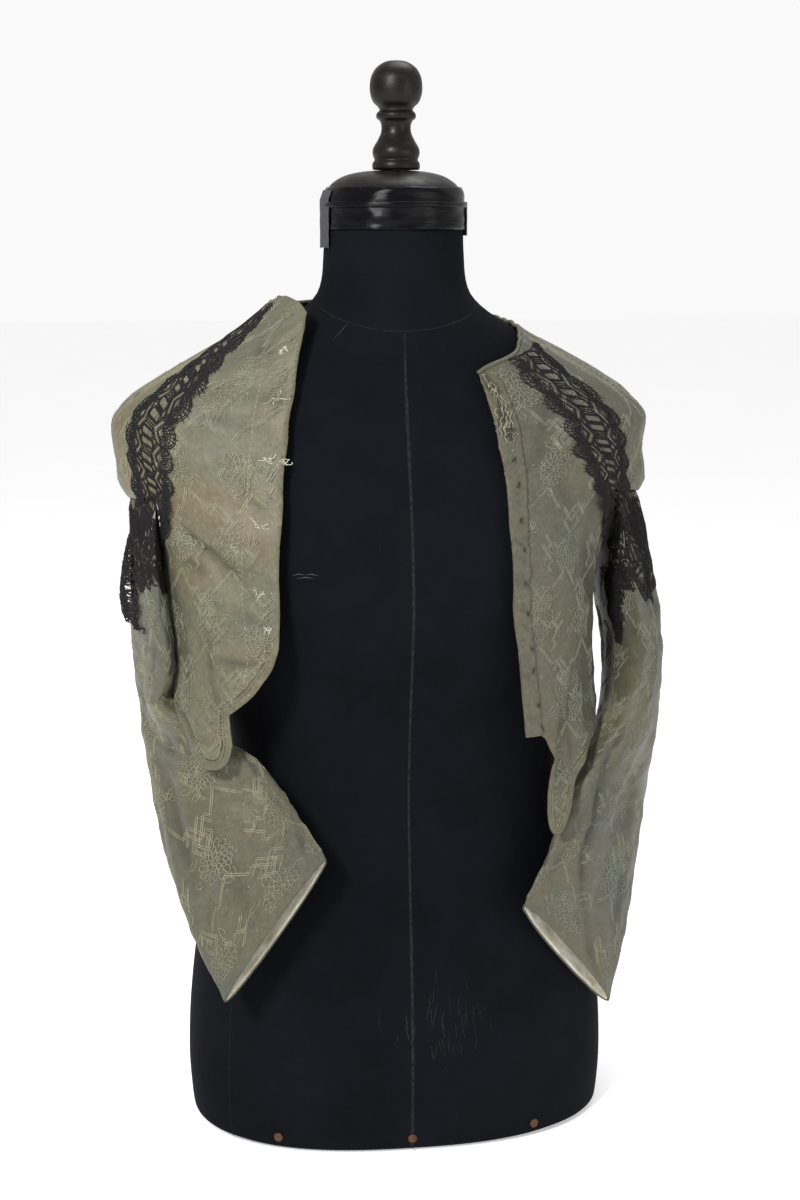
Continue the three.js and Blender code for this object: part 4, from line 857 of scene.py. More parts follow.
# on each sleeve: turn and share of the length of both ends, depth, reach as a share of a whole turn
SLEEVE_CREASES = {
    "right": [
        (0, 0.592, 26, 0.706, 1.6, 0.012), (26, 0.706, 21, 0.793, 1.2, 0.012),
        (24, 0.873, 30, 0.943, 1.2, 0.012), (64, 0.30, 92, 0.42, 1.3, 0.02), (120, 0.36, 92, 0.5, 1.1, 0.02),
        (58, 0.5, 92, 0.56, 1.5, 0.02), (110, 0.6, 128, 0.78, 1.3, 0.02), (70, 0.66, 58, 0.9, -1.2, 0.025),
        (140, 0.2, 128, 0.34, 1.0, 0.02), (30, 0.18, 44, 0.34, 1.0, 0.02), (92, 0.7, 96, 0.95, 1.0, 0.02),
        (200, 0.3, 232, 0.42, 1.3, 0.02), (215, 0.5, 250, 0.55, 1.4, 0.02), (190, 0.62, 214, 0.85, 1.2, 0.02),
        (244, 0.68, 236, 0.9, -1.0, 0.02), (160, 0.45, 170, 0.6, 1.0, 0.02), (310, 0.4, 290, 0.55, 1.2, 0.02),
    ],
    "left": [
        (0, 0.431, 0, 0.485, 1.5, 0.015), (0, 0.485, 27, 0.569, 1.8, 0.014),
        (27, 0.569, 48, 0.676, 2.2, 0.014), (48, 0.676, 52, 0.776, 2.2, 0.014),
        (52, 0.776, 66, 0.846, 2.0, 0.014), (66, 0.846, 94, 0.933, 1.6, 0.014),
        (94, 0.933, 118, 0.983, 1.0, 0.014), (52, 0.144, 74, 0.268, 3.2, 0.014),
        (74, 0.268, 94, 0.398, 2.4, 0.014), (94, 0.398, 108, 0.462, 1.4, 0.014),
        (60, 0.12, 84, 0.25, -1.6, 0.016), (120, 0.3, 132, 0.5, 1.2, 0.02), (84, 0.56, 104, 0.7, 1.0, 0.02),
        (24, 0.2, 36, 0.4, 1.4, 0.02), (110, 0.72, 128, 0.9, 1.2, 0.02), (30, 0.68, 22, 0.88, 1.2, 0.02),
        (76, 0.75, 82, 0.96, -1.0, 0.02), (200, 0.28, 236, 0.4, 1.4, 0.02), (214, 0.5, 246, 0.6, 1.4, 0.02),
        (190, 0.66, 214, 0.86, 1.2, 0.02), (300, 0.36, 282, 0.55, 1.2, 0.02),
    ],
}


def on_sleeve(name):
    sleeve = SLEEVES[name]
    creases = deepened(SLEEVE_CREASES[name])

    def surface(x, y, out):
        around = sleeve["side"] * x / AROUND
        return sleeve_point(sleeve, around, -y / ALONG, out, creases, ROUGH)

    def folds(x, y):
        return sleeve_folds(creases, sleeve["side"] * x / AROUND, -y / ALONG)

    return surface, folds


def flat_grid(x0, x1, y0, y1, cell):
    bm = bmesh.new()
    across, down = max(1, round((x1 - x0) / cell)), max(1, round((y1 - y0) / cell))
    bmesh.ops.create_grid(bm, x_segments=across, y_segments=down, size=1)
    for vert in bm.verts:
        vert.co = (x0 + (vert.co.x + 1) / 2 * (x1 - x0), y0 + (vert.co.y + 1) / 2 * (y1 - y0), 0)
    return bm


def tube_span(side, start, end, turns=(SEAM_AT, SEAM_AT + 360)):
    """Flat size of a stretch of sleeve: from one turn to another, from one share of it to another."""
    xs = sorted(side * turn * AROUND for turn in turns)
    return *xs, -end * ALONG, -start * ALONG


for name, sleeve in SLEEVES.items():
    tube = flat_grid(*tube_span(sleeve["side"], 0, 1), SLEEVE_CELL)
    for vert in tube.verts:
        down = -vert.co.y
        vert.co.z = 0.4 * math.exp(-(((ALONG - down) - 2.5) / 2) ** 2) - 0.3 * math.exp(-((down / 2) ** 2))
    surface, folds = on_sleeve(name)
    lay(tube, surface, SILK_OUT, folds)
    bmesh.ops.remove_doubles(tube, verts=tube.verts[:], dist=1e-6)
    node = "sleeve_" + name
    # Both sleeves take the left side's darker silk; on the right sleeve that darkness is painted shade.
    add_piece(tube, node + ".silk", SILK_LEFT, [node], SILK_WALL)
    lining = flat_grid(*tube_span(sleeve["side"], FACING_FROM, FACING_TO), SLEEVE_CELL)
    lay(lining, surface, SILK_OUT - SILK_WALL - 0.5)
    bmesh.ops.remove_doubles(lining, verts=lining.verts[:], dist=1e-6)
    facing = "cuff_facing_" + name
    add_piece(lining, facing + ".satin", SATIN, [facing], 0.6)

# %% [markdown]
# ## Woven figures
# The damask's figures are lightning lines, keys and chrysanthemums. Each is a thread drawn flat.
# The straight ones run along two slants only, so they are step lists: so far along one slant, then
# so far along the other. A second thread beside the first makes the double line of the weave.

# %% Figures of the damask
SLANT = np.array([(0.62, 0.78), (-0.62, 0.78)])
FIGURES = [
    ((-25, -26), [(14, 0), (0, -4), (21, 0), (0, -20), (5, 0), (0, -16)]),
    ((12, -22), [(12, 0), (0, -17), (-12, 0), (0, 11), (6, 0), (0, -6)]),
    ((-4, -36), [(-9, 0), (0, -6), (-10, 0), (0, -5), (-6, 0)]),
    ((-22, -40), [(0, -9), (7, 0), (0, -9), (8, 0)]),
]
CELL = (50, 58)


def stepped(start, steps_of, mirror, gap=3.2):
    """A line of points from a start along steps on the two slants."""
    here = np.array(start, float)
    points = [here]
    for along, other in steps_of:
        there = here + along * SLANT[0] + other * SLANT[1]
        count = max(1, int(np.hypot(*(there - here)) / gap))
        points += [here + (there - here) * k / count for k in range(1, count + 1)]
        here = there
    return np.array(points) * (mirror, 1)


def heading(angle):
    return np.array((math.cos(angle), math.sin(angle)))


def flower(centre, size, rng):
    """A chrysanthemum: three rings of looped petals, two small rings in the middle, a few leaves."""
    lines = []
    phase = rng.random()
    for count, near, far in ((17, 0.68, 1.0), (14, 0.42, 0.74), (9, 0.2, 0.48)):
        for i in range(count):
            angle = math.tau * (i + phase + 0.2 * rng.random()) / count
            half, reach = math.pi / count * 0.82, far * (0.88 + 0.2 * rng.random())
            rows = [(near, -0.8), (0.7 * near + 0.3 * reach, -1), (0.25 * near + 0.75 * reach, -0.95),
                    (0.98 * reach, -0.45), (reach, 0.1), (0.95 * reach, 0.6), (0.2 * near + 0.7 * reach, 1)]
            lines.append([centre + size * r * heading(angle + a * half) for r, a in rows])
    for radius in (0.1, 0.19):
        turns = np.linspace(0, math.tau, 13)
        lines.append(centre + size * radius * np.stack([np.cos(turns), np.sin(turns)], -1))
    for _ in range(5):
        angle = math.tau * rng.random()
        foot = centre + size * 1.1 * heading(angle)
        bend = angle + rng.choice((-0.9, 0.9))
        tip = foot + size * 0.75 * heading(bend)
        side = 0.16 * np.array((foot[1] - tip[1], tip[0] - foot[0]))
        lines.append([foot, foot * 0.7 + tip * 0.3 + side, foot * 0.3 + tip * 0.7 + side, tip,
                      foot * 0.3 + tip * 0.7 - side, foot * 0.7 + tip * 0.3 - side])
    return [np.array(line) for line in lines]


# %% Spreading the figures over a flat drawing
def kept(lines, allowed):
    """The stretches of the lines where allowed says yes."""
    lines = [np.asarray(line, float) for line in lines]
    good = np.split(allowed(np.concatenate(lines)), np.cumsum([len(line) for line in lines])[:-1])
    runs = []
    for line, here in zip(lines, good):
        start = None
        for i, yes in enumerate([*here, False]):
            if yes and start is None:
                start = i
            elif not yes and start is not None:
                if i - start > 2:
                    runs.append(line[start:i])
                start = None
    return runs


def damask(low, high, allowed, seed):
    """Figures over a flat area: (straight threads, flower threads)."""
    rng = random.Random(seed)
    straight, round_ones = [], []
    rows = range(int(low[1] // CELL[1]) - 1, int(high[1] // CELL[1]) + 3)
    for j in rows:
        for i in range(int(low[0] // CELL[0]) - 1, int(high[0] // CELL[0]) + 2):
            centre = np.array(((i + 0.5 * (j % 2)) * CELL[0], j * CELL[1]))
            centre = centre + (rng.uniform(-3, 3), rng.uniform(-3, 3))
            mirror = rng.choice((1, -1))
            for start, steps_of in FIGURES:
                line = stepped(start, steps_of, mirror)
                for shift in (-0.85, 0.85):
                    straight.append(centre + line + (shift, 0))
            shift = (rng.uniform(-4, 4), 12 + rng.uniform(-4, 4))
            round_ones += flower(centre + shift, rng.uniform(12.5, 15.5), rng)
            if rng.random() < 0.5:
                away = (CELL[0] / 2 + rng.uniform(-4, 4), -30 + rng.uniform(-4, 4))
                round_ones += flower(centre + away, rng.uniform(8, 10), rng)
    return kept(straight, allowed), kept(round_ones, allowed)


def together(*parts):
    whole = bmesh.new()
    for part in parts:
        data = bpy.data.meshes.new("part")
        part.to_mesh(data)
        part.free()
        whole.from_mesh(data)
        bpy.data.meshes.remove(data)
    return whole


# %% Figures on every panel
figures, shaded = {}, {}


def add_figures(name, low, high, allowed, surface, finish_of, seed):
    straight, round_ones = damask(low, high, allowed, seed)
    threads = together(strips(straight, 0.62, 0.36), strips(round_ones, 0.5, 0.34))
    lay(threads, surface, SILK_OUT - 0.03)
    figures[name] = add_piece(threads, name + ".figures", finish_of)
    beside_them = [line + (0.6, -0.4) for line in straight + round_ones]
    shades = lay(strips(beside_them, 0.55, 0.12), surface, SILK_OUT - 0.03)
    shaded[name] = add_piece(shades, name + ".shades", SHADOW)
    print(name, len(straight), "straight threads,", len(round_ones), "flower threads")


for seed, (name, outline) in enumerate(OUTLINES.items()):
    def allowed(points, outline=outline):
        return inside(points, outline) & (away_from(points, outline) > 2.2)

    finish_of = FIGURE_LEFT if name in SILK_OF else FIGURE
    add_figures(name, outline.min(0), outline.max(0), allowed, on_body, finish_of, seed)
for seed, (name, sleeve) in enumerate(SLEEVES.items()):
    x0, x1, y0, y1 = tube_span(sleeve["side"], 0.01, 0.975)

    def allowed(points, x0=x0, x1=x1, y0=y0, y1=y1):
        x, y = points.T
        return (x > x0 + 2) & (x < x1 - 2) & (y > y0) & (y < y1)

    finish_of = FIGURE_LEFT if name == "left" else FIGURE
    add_figures("sleeve_" + name, (x0, y0), (x1, y1), allowed, on_sleeve(name)[0], finish_of, 20 + seed)

# %% [markdown]
# ## Lace
# The lace is bands of real thread. A band has its own flat coordinates: so far along it and so far
# from its middle. One repeat holds a ribbed shell at each edge, wavy double braids, and a pair of
# open windows between heavy bars. A mapping bends the band between its two edges on the jacket.
# The yokes' rows lean, because worn lace drags along one edge. Net and heavy cords are two pieces.

# %% Lace bands
REPEAT, HALF = 20.0, 21.5  # a repeat's length, half the band's width
LACE_THREADS = ((0.38, 0.28), (0.66, 0.42), (1.0, 0.62))  # width and height: fine, middle, heavy
YOKE_WIDER = 1.18  # the shells reach a little past the band's two edges
ARM_PINCH = 1.25  # the slack band's rows crowd towards its middle
RIGHT_LACE_INNER = [
    (642, -77), (629, -69), (614, -61), (600, -54), (586, -49), (572, -47), (556, -49.5),
    (540, -53), (527, -56.5), (515, -60), (500, -64), (486, -68), (474, -73),
]
RIGHT_LACE_OUTER = [
    (639, -97), (622, -90), (610, -82), (598, -74), (586, -69.5), (572, -68), (556, -68.5),
    (540, -71), (527, -74), (515, -77), (500, -80), (486, -83), (474, -87),
]
LEFT_LACE_INNER = [
    (613, 31), (600, 28.5), (588, 29.5), (574, 31), (560, 34), (546, 37.5), (532, 43), (515, 50),
    (500, 56), (485, 61), (472, 66),
]
LEFT_LACE_OUTER = [
    (624, 56), (611, 50), (600, 47.5), (588, 48), (574, 49.5), (560, 53), (546, 58), (532, 63),
    (515, 69.5), (500, 75), (485, 80), (472, 86),
]


def evenly_along(line, count=160):
    reach = reach_of(line)
    at = np.linspace(0, reach[-1], count)
    return np.stack([np.interp(at, reach, line[:, k]) for k in (0, 1)], -1), reach[-1]


def band_between(first, second, wider=1.0, pinch=1.0):
    """Maps (along, from the middle) of a band to the flat place between two edges."""
    (one, length_one), (two, length_two) = evenly_along(first), evenly_along(second)
    length = (length_one + length_two) / 2

    def place_of(points):
        at = np.clip(points[:, 0] / length, 0, 1) * (len(one) - 1)
        level = points[:, 1] / HALF
        share = (np.sign(level) * np.abs(level) ** pinch * wider + 1) / 2
        keys = np.arange(len(one))
        ends = [np.stack([np.interp(at, keys, side[:, k]) for k in (0, 1)], -1) for side in (one, two)]
        return ends[0] * (1 - share)[:, None] + ends[1] * share[:, None]

    return place_of, length


# %% One repeat of lace
def arc(centre, radius, start, end, count):
    angles = np.radians(np.linspace(start, end, count))
    return np.stack([centre[0] + radius * np.sin(angles), centre[1] + radius * np.cos(angles)], -1)


def lace_repeat(at, rng):
    """Threads of one repeat that starts at a distance along the band: fine, middle and heavy ones."""
    fine, middle, heavy = [], [], []
    centre = at + REPEAT / 2

    def wander(size=0.35):
        return np.array((rng.uniform(-size, size), rng.uniform(-size, size)))

    for side in (1, -1):
        hub = np.array((centre, 11.2)) + wander(0.7)
        shell = [arc(hub, 9.9, -112, 112, 22), arc(hub, 2.4, -90, 90, 7), arc(hub, 8.6, -105, 105, 20)]
        heavy += [line * (1, side) for line in shell]
        middle += [arc(hub, radius, -100, 100, 14) * (1, side) for radius in (4.6, 6.6)]
        for angle in np.linspace(-90, 90, 10):
            way = np.array((math.sin(math.radians(angle)), math.cos(math.radians(angle))))
            rib = np.array([hub + way * radius for radius in (1.6, 4.2, 6.8, 9.9)])
            heavy.append(rib * (1, side))
            for _ in range(2):
                tip = [hub + way * 9.9, hub + way * 10.7 + wander(0.4), hub + way * 11.6 + wander(0.9)]
                fine.append(np.array(tip) * (1, side))
        along = np.linspace(at, at + REPEAT, 17)
        swing = np.abs((along - at) / REPEAT * 2 - 1) * 4.8
        for level, group in ((3.0, heavy), (4.3, middle), (6.7, middle), (8.0, heavy)):
            group.append(np.stack([along, side * (level + swing)], -1) + [wander(0.2) for _ in along])
        for x, rise in zip(along[:-1], swing):
            for low, high in ((3.0, 4.3), (6.7, 8.0)):
                middle.append(np.array([(x, side * (low + rise)), (x + 0.8, side * (high + rise))]))
        for lean in (-3.2, -1.6, 0, 1.6, 3.2):
            middle.append(np.array([(at + lean, side * 12), (at + lean * 0.6, side * 15),
                                    (at + lean * 0.9, side * 18)]))
    for offset in (-3.8, 3.8):
        frame_line = []
        for x, y, start in ((1.5, 3.5, 0), (1.5, -3.5, 90), (-1.5, -3.5, 180), (-1.5, 3.5, 270)):
            frame_line += list(arc((at + offset + x, y), 1.1, start, start + 90, 3))
        frame_line = np.array(frame_line) + wander(0.25)
        heavy.append(np.concatenate([frame_line, frame_line[:1]]))
        around_it = (frame_line - (at + offset, 0)) * (1.28, 1.22) + (at + offset, 0)
        heavy.append(np.concatenate([around_it, around_it[:1]]))
    for offset in (-2.7, -0.9, 0.9, 2.7):
        bend = rng.uniform(-0.4, 0.4)
        heavy.append(np.array([(centre + offset, -3.4), (centre + offset + bend, -1),
                               (centre + offset - bend, 1), (centre + offset, 3.4)]))
    for k in range(13):
        x = at + REPEAT * k / 13
        for lean in (3.4, -3.4):
            for side in (1, -1):
                for low in (12.6, 10.2):
                    fine.append(np.array([(x, side * low), (x + lean / 2, side * (low + 2.3)),
                                          (x + lean, side * (low + 4.6))]))
    return fine, middle, heavy


# %% Bands over the shoulders
def lace_band(place_of, length, seed, lean=0.0):
    """One whole band; lean shifts its rows along it, from one edge to the other."""
    rng = random.Random(seed)
    groups = ([], [], [])
    count = max(1, round(length / REPEAT))
    for i in range(-1, count + 1):
        for group, lines in zip(groups, lace_repeat(i * REPEAT, rng)):
            group += [line * (length / (count * REPEAT), 1) + line[:, 1:] * (lean, 0) for line in lines]
    ends = np.linspace(-16, 16, 14)
    for end in (0.6, length - 0.6):
        groups[1].append(np.stack([np.full_like(ends, end), ends], -1))
    placed = []
    for group, (width, height) in zip(groups, LACE_THREADS):
        whole = [line for line in group if -0.5 < np.mean(line[:, 0]) < length + 0.5]
        placed.append(strips([place_of(line) for line in whole], width, height))
    return together(*placed[:2]), placed[2]


laces, lace_cords = {}, {}
LACE_OUT = SILK_OUT + 0.12


def add_lace(node, net, cords, surface):
    """A band's net and the heavier cords worked on it, as two pieces."""
    laces[node] = add_piece(lay(net, surface, LACE_OUT), node + ".net", LACE, [node])
    lace_cords[node] = add_piece(lay(cords, surface, LACE_OUT), node + ".cords", LACE)
    print(node, len(laces[node].data.polygons) + len(lace_cords[node].data.polygons), "faces")


def over_armhole(x, y, out):
    """The body surface; below the cap's hem the lace runs on over the top of the sleeve."""
    return on_body(x, y, out + 3.4 * np.clip((520 - y) / 14, 0, 1))


for seed, (name, first, second, lean) in enumerate((
        ("lace_yoke_right", RIGHT_LACE_INNER, RIGHT_LACE_OUTER, -0.55),
        ("lace_yoke_left", LEFT_LACE_INNER, LEFT_LACE_OUTER, 0.6))):
    place_of, length = band_between(curve(first), curve(second), YOKE_WIDER)
    add_lace(name, *lace_band(place_of, length, seed, lean), over_armhole)
    print(name, round(length), "mm long")

# %% [markdown]
# ## Slack bands and torn ends
# Round the top of each sleeve the same band hangs slack, so its mapping is pulled out of line. Where
# lace has come apart its threads curl: each end is a heap of short threads that turn at random.

# %% Torn ends of lace
def wandering(x, y, angle, count, stride, sway, rng):
    """A thread that turns at random as it goes."""
    line = []
    for _ in range(count):
        line.append((x, y))
        angle += rng.gauss(0, sway)
        x, y = x + stride * math.cos(angle), y + stride * math.sin(angle)
    return line


def snarl(x0, x1, y0, y1, count, rng, narrow=1.0):
    """Curling threads in a flat box whose lower end may be narrower."""
    lines = []
    for _ in range(count):
        x, y, angle = rng.uniform(x0, x1), rng.uniform(y0, y1), rng.uniform(0, math.tau)
        line = wandering(x, y, angle, rng.randint(7, 16), 1.5, 0.55, rng)
        share = [(y1 - point[1]) / (y1 - y0) for point in line]
        middle = (x0 + x1) / 2
        line = [(middle + (px - middle) * (1 - (1 - narrow) * np.clip(t, 0, 1)), np.clip(py, y0, y1))
                for (px, py), t in zip(line, share)]
        lines.append(np.array(line))
    return lines


def tangled(place_of):
    """The same band, pulled out of line, with its lower edge uneven."""
    def moved(points):
        x, y = points.T
        along = x + 2.2 * np.sin(y / 4.1 + x / 17)
        loose = np.clip((HALF - y) / 12, 0, 1)
        across = y + loose * (4.5 * np.sin(x / 15) + 2.2 * np.sin(x / 6.3 + y / 5) - 1.5)
        return place_of(np.stack([along, across], -1))

    return moved


BAND_SPANS = {"right": (0.008, 0.1), "left": (0.008, 0.14)}  # shares of the sleeve's length
KNOTS = 170
for seed, (name, (start, end)) in enumerate(BAND_SPANS.items()):
    side = SLEEVES[name]["side"]
    turns = np.array([-64.0, 166.0]) if side > 0 else np.array([166.0, -64.0])
    top, low = [[(side * turn * AROUND, -share * ALONG) for turn in np.linspace(*turns, 60)]
                for share in (start, end)]
    place_of, length = band_between(np.array(low), np.array(top), 1.0, ARM_PINCH)
    net, cords = lace_band(tangled(place_of), length, 10 + seed)
    x0, x1 = sorted(side * turns * AROUND)
    knots = snarl(x0 + 3, x1 - 3, -end * ALONG + 2, -start * ALONG, KNOTS, random.Random(30 + seed))
    add_lace("lace_arm_" + name, net, together(cords, strips(knots, 0.9, 0.8)), on_sleeve(name)[0])
    print("arm", name, round(length), "mm long")


def torn_lace(node, name, turns, shares, out_of, seed, counts, narrow=1.0):
    """A heap of threads on a sleeve; out_of says how far it stands off across and down its box."""
    rng = random.Random(seed)
    side = SLEEVES[name]["side"]
    x0, x1 = sorted(side * turn * AROUND for turn in turns)
    y0, y1 = -shares[1] * ALONG, -shares[0] * ALONG
    parts = [strips(snarl(x0, x1, y0, y1, count, rng, narrow), width, height)
             for count, width, height in zip(counts, (0.5, 1.0, 1.7), (0.3, 0.6, 0.9))]
    surface = on_sleeve(name)[0]

    def crumpled(x, y, out):
        u, v = (x - x0) / (x1 - x0), np.clip((y1 - y) / (y1 - y0), 0, 1)
        return surface(x, y, out + out_of(u, v))

    add_lace(node, together(*parts[:2]), parts[2], crumpled)


def tuft_rise(u, v):
    bulge = np.sin(np.pi * np.clip(v, 0, 1)) * np.sin(np.pi * np.clip(0.12 + 0.76 * u, 0, 1))
    return 0.3 + 7.5 * bulge + 2.2 * v * (1 + np.sin(9 * u + 4 * v)) + 1.1 * np.sin(23 * u + 17 * v)


def drop_rise(_, v):
    return 0.3 + 1.2 * v + 0.7 * np.sin(14 * v)


torn_lace("lace_tuft_right", "right", (70, 108), (0.05, 0.185), tuft_rise, 5, (110, 110, 50))
torn_lace("lace_drop_left", "left", (-70, -38), (0.1, 0.25), drop_rise, 6, (110, 110, 60), 0.14)

# %% [markdown]
# ## Edges and wear
# The edges carry the small signs that make cloth believable: a rippled placket, a rolled binding
# round the neck and corded piping on the hems. The cords are strips beside the hem's own line.

# %% Placket, binding and piping
placket_chain = curve(LEFT_EDGE, 3.0)
PLACKET_WIDE, PLACKET_LONG = 5.2 * DEGREE, 266
rng = random.Random(3)
ragged = placket_chain.copy()
ragged[:, 0] += [rng.uniform(-0.9, 0.9) for _ in ragged]
net = cut_net(np.concatenate([ragged, placket_chain[::-1] + (PLACKET_WIDE, 0)]), 1.5)
for vert in net.verts:
    x, y = vert.co.x, vert.co.y
    ripple = math.sin(y / 2.1 + 1.9 * math.sin(y / 13) + x / 4) * (0.45 + 0.55 * math.sin(y / 23 + 1))
    vert.co.z = 0.75 * ripple + 1.1 * noise.noise(Vector((x / 5, y / 4, 3)))
lay(net, on_body, SILK_OUT + 1.7)
placket = add_piece(net, "front_placket_left.silk", SILK_LEFT, ["front_placket_left"], 0.6)


def tube_along(points, radius, sides=10):
    """A closed round cord along points in metres."""
    points = np.array(points, float)
    bm = bmesh.new()
    bmesh.ops.create_grid(bm, x_segments=sides, y_segments=len(points) - 1, size=1)
    way = unit(np.gradient(points, axis=0))
    side = unit(np.cross(way, (0.3, 0.2, 1.0)))
    top = np.cross(side, way)
    for vert in bm.verts:
        i = round((vert.co.y + 1) / 2 * (len(points) - 1))
        angle = math.pi * (vert.co.x + 1)
        vert.co = points[i] + radius * (math.cos(angle) * side[i] + math.sin(angle) * top[i])
    bmesh.ops.remove_doubles(bm, verts=bm.verts[:], dist=1e-6)
    bmesh.ops.holes_fill(bm, edges=[edge for edge in bm.edges if edge.is_boundary])
    bmesh.ops.recalc_face_normals(bm, faces=bm.faces[:])
    bm.loops.layers.uv.new("flat")
    return bm


neck_line = np.concatenate([curve(LEFT_NECK, 3), curve(LEFT_SHOULDER_NECK, 3)[1:], curve(BACK_NECK, 3)[1:]])
foot = on_body(neck_line[:, 0], neck_line[:, 1], SILK_OUT - 0.4)
above = on_body(neck_line[:, 0], neck_line[:, 1] + 1, SILK_OUT - 0.4)
binding = tube_along((foot + unit(above - foot) * 1.5) * MM, 1.5 * MM)
add_piece(binding, "neck_binding.silk", SILK_LEFT, ["neck_binding"])


def beside(chain, distance):
    """The chain moved to its left by a distance."""
    way = unit(np.gradient(chain, axis=0))
    return chain + np.stack([-way[:, 1], way[:, 0]], -1) * distance


def dashes(chain, length, gap, rng, wobble=0.3):
    """Running stitches along a chain."""
    even, total = evenly_along(np.array(chain, float), 400)
    count = int(total / (length + gap))
    lines = []
    for k in range(count):
        start = int(k / count * 399)
        end = min(399, start + max(1, int(length / total * 399)))
        ends = even[[start, end]] + [[rng.uniform(-wobble, wobble), 0], [rng.uniform(-wobble, wobble), 0]]
        lines.append(np.array([ends[0], ends.mean(0), ends[1]]))
    return lines


right_hem = np.concatenate([curve(RIGHT_HEM, 3), curve(RIGHT_NOTCH, 3)[1:], curve(RIGHT_FRONT_HEM, 3)[1:]])
left_hem = curve(back(LEFT_HEM), 3)
piping = [beside(right_hem, distance) for distance in (1.6, 3.6, 5.6)]
piping += [beside(left_hem, distance) for distance in (1.6, 3.6)]
cords = lay(strips(piping, 1.5, 0.6), on_body, SILK_OUT - 0.05)
piping_piece = add_piece(cords, "hem_piping.silk", SILK)
# Painted shade: thin dark strips laid between the piping cords, where the gaps between them would be in
# shade.
groove_shade_lines = [beside(right_hem, distance) for distance in (2.6, 4.6, 6.8)]
groove_shade_lines += [beside(left_hem, distance) for distance in (2.6, 4.8)]
add_piece(lay(strips(groove_shade_lines, 0.5, 0.1), on_body, SILK_OUT), "hem_groove_shade.silk", SHADOW)

# %% [markdown]
# ## Stitches, rust and loose threads
# Running stitches follow the edges, inside the piping. Hooks have left rusty blots down the left
# front and the silk has frayed round them: small ragged discs with short threads across.

# %% Stitches and loose threads
def drawn(places):
    return curve([(z, turn) for turn, z in places], 3)


RIGHT_STITCHES = drawn([(-35, 628), (-33, 600), (-28.4, 580), (-27.4, 556), (-34.6, 506), (-37.8, 471),
                        (-38.2, 442), (-36.6, 406), (-37, 380)])
LEFT_STITCHES = drawn([(18.6, 598), (17.4, 556), (19, 545), (20.6, 532), (23.8, 499), (25, 482), (26.6, 451),
                       (28.6, 420), (29.4, 393), (30.6, 366), (31.4, 340)])
rng = random.Random(8)
pale = dashes(RIGHT_STITCHES, 2.6, 1.6, rng) + dashes(LEFT_STITCHES, 2.2, 1.8, rng)
pale += dashes(beside(right_hem, 8.6), 2.0, 2.4, rng) + dashes(beside(left_hem, 6.2), 2.0, 2.4, rng)
stitches = lay(strips(pale, 0.55, 0.35), on_body, SILK_OUT)
add_piece(stitches, "stitches.thread", FIGURE)

LOOSE = [(-36.2, 618), (-25, 545), (-22.2, 541), (-31.8, 496), (-33.4, 446), (-25, 586), (-31, 423)]
threads = []
for turn, z in LOOSE:
    for _ in range(5):
        x, y = turn * DEGREE + rng.uniform(-2.5, 2.5), z + rng.uniform(-1.5, 1.5)
        angle = rng.uniform(-0.9, 0.4)
        threads.append(wandering(x, y, angle, rng.randint(5, 9), 0.9, 0.7, rng))
loose = lay(strips(threads, 0.5, 0.55), on_body, SILK_OUT + 0.15)
add_piece(loose, "loose_threads.thread", THREAD)

# %% Rust and torn silk on the placket
SPOTS = [
    (17, 594), (17, 587), (16.2, 576), (16.6, 560), (19.4, 540), (21.4, 522), (23.4, 497), (25, 476),
    (26.2, 452), (27.4, 429), (28.6, 403), (29.4, 386), (30.6, 360), (31, 343),
]
# turn, height, half-width and half-height of each tear
TORN = [
    (16.6, 597, 1.5, 5), (17.6, 592, 1.2, 4), (16.2, 588, 2.0, 3), (17.2, 580, 0.9, 6),
    (16.4, 573, 1.7, 4), (17.8, 568, 0.9, 6), (17.0, 561, 1.6, 5), (18.4, 555, 1.2, 4),
    (16.0, 566, 0.8, 4),
]


def blot(x, y, wide, high, rng, count=11):
    """A ragged flat patch."""
    bm = bmesh.new()
    bmesh.ops.create_circle(bm, cap_ends=True, segments=count, radius=1)
    for vert in bm.verts:
        swell = rng.uniform(0.45, 1.15)
        vert.co = (x + vert.co.x * wide * swell, y + vert.co.y * high * swell, 0)
    return bm


blots, snags, wisps = [], [], []
for turn, z in SPOTS:
    x = turn * DEGREE - 1
    blots.append(blot(x, z, rng.uniform(0.7, 1.2), rng.uniform(1.6, 2.8), rng))
    for _ in range(3):
        sway, drop = rng.uniform(-2, 2), rng.uniform(2, 5)
        snags.append([(x + rng.uniform(-1, 1), z + drop / 2), (x + sway / 2, z), (x + sway, z - drop / 2)])
for turn, z, wide, high in TORN:
    blots.append(blot(turn * DEGREE - 1, z, wide, high, rng, 17))
    for _ in range(4):
        x, sway = turn * DEGREE + rng.uniform(-3, 2), rng.uniform(-2, 2)
        snags.append([(x, z + high * 0.8), (x + sway, z), (x + sway / 2, z - high * 0.8)])
    for _ in range(3):
        x, sway = turn * DEGREE + rng.uniform(-3, 2), rng.uniform(-3, 3)
        wisps.append([(x, z + high), (x + sway, z + 1), (x + sway * 0.4, z - high * 0.5), (x - 1, z - high)])
patches = together(*blots)
bmesh.ops.triangulate(patches, faces=patches.faces[:])
bmesh.ops.subdivide_edges(patches, edges=patches.edges[:], cuts=1, use_grid_fill=True)
lay(patches, on_body, SILK_OUT + 2.5)
add_piece(patches, "placket_rust.thread", BROWN)
frayed = lay(strips(snags, 0.45, 0.4), on_body, SILK_OUT + 2.6)
add_piece(frayed, "placket_fray.thread", BROWN)
add_piece(lay(strips(wisps, 0.5, 0.5), on_body, SILK_OUT + 2.7), "placket_wisps.thread", FIGURE)

# %% [markdown]
# ## The dress form
# The torso is a grid of level sections, closed at the foot and at the neck. Its seams are narrow
# raised strips, and its chalk marks and scratches are flat ones.

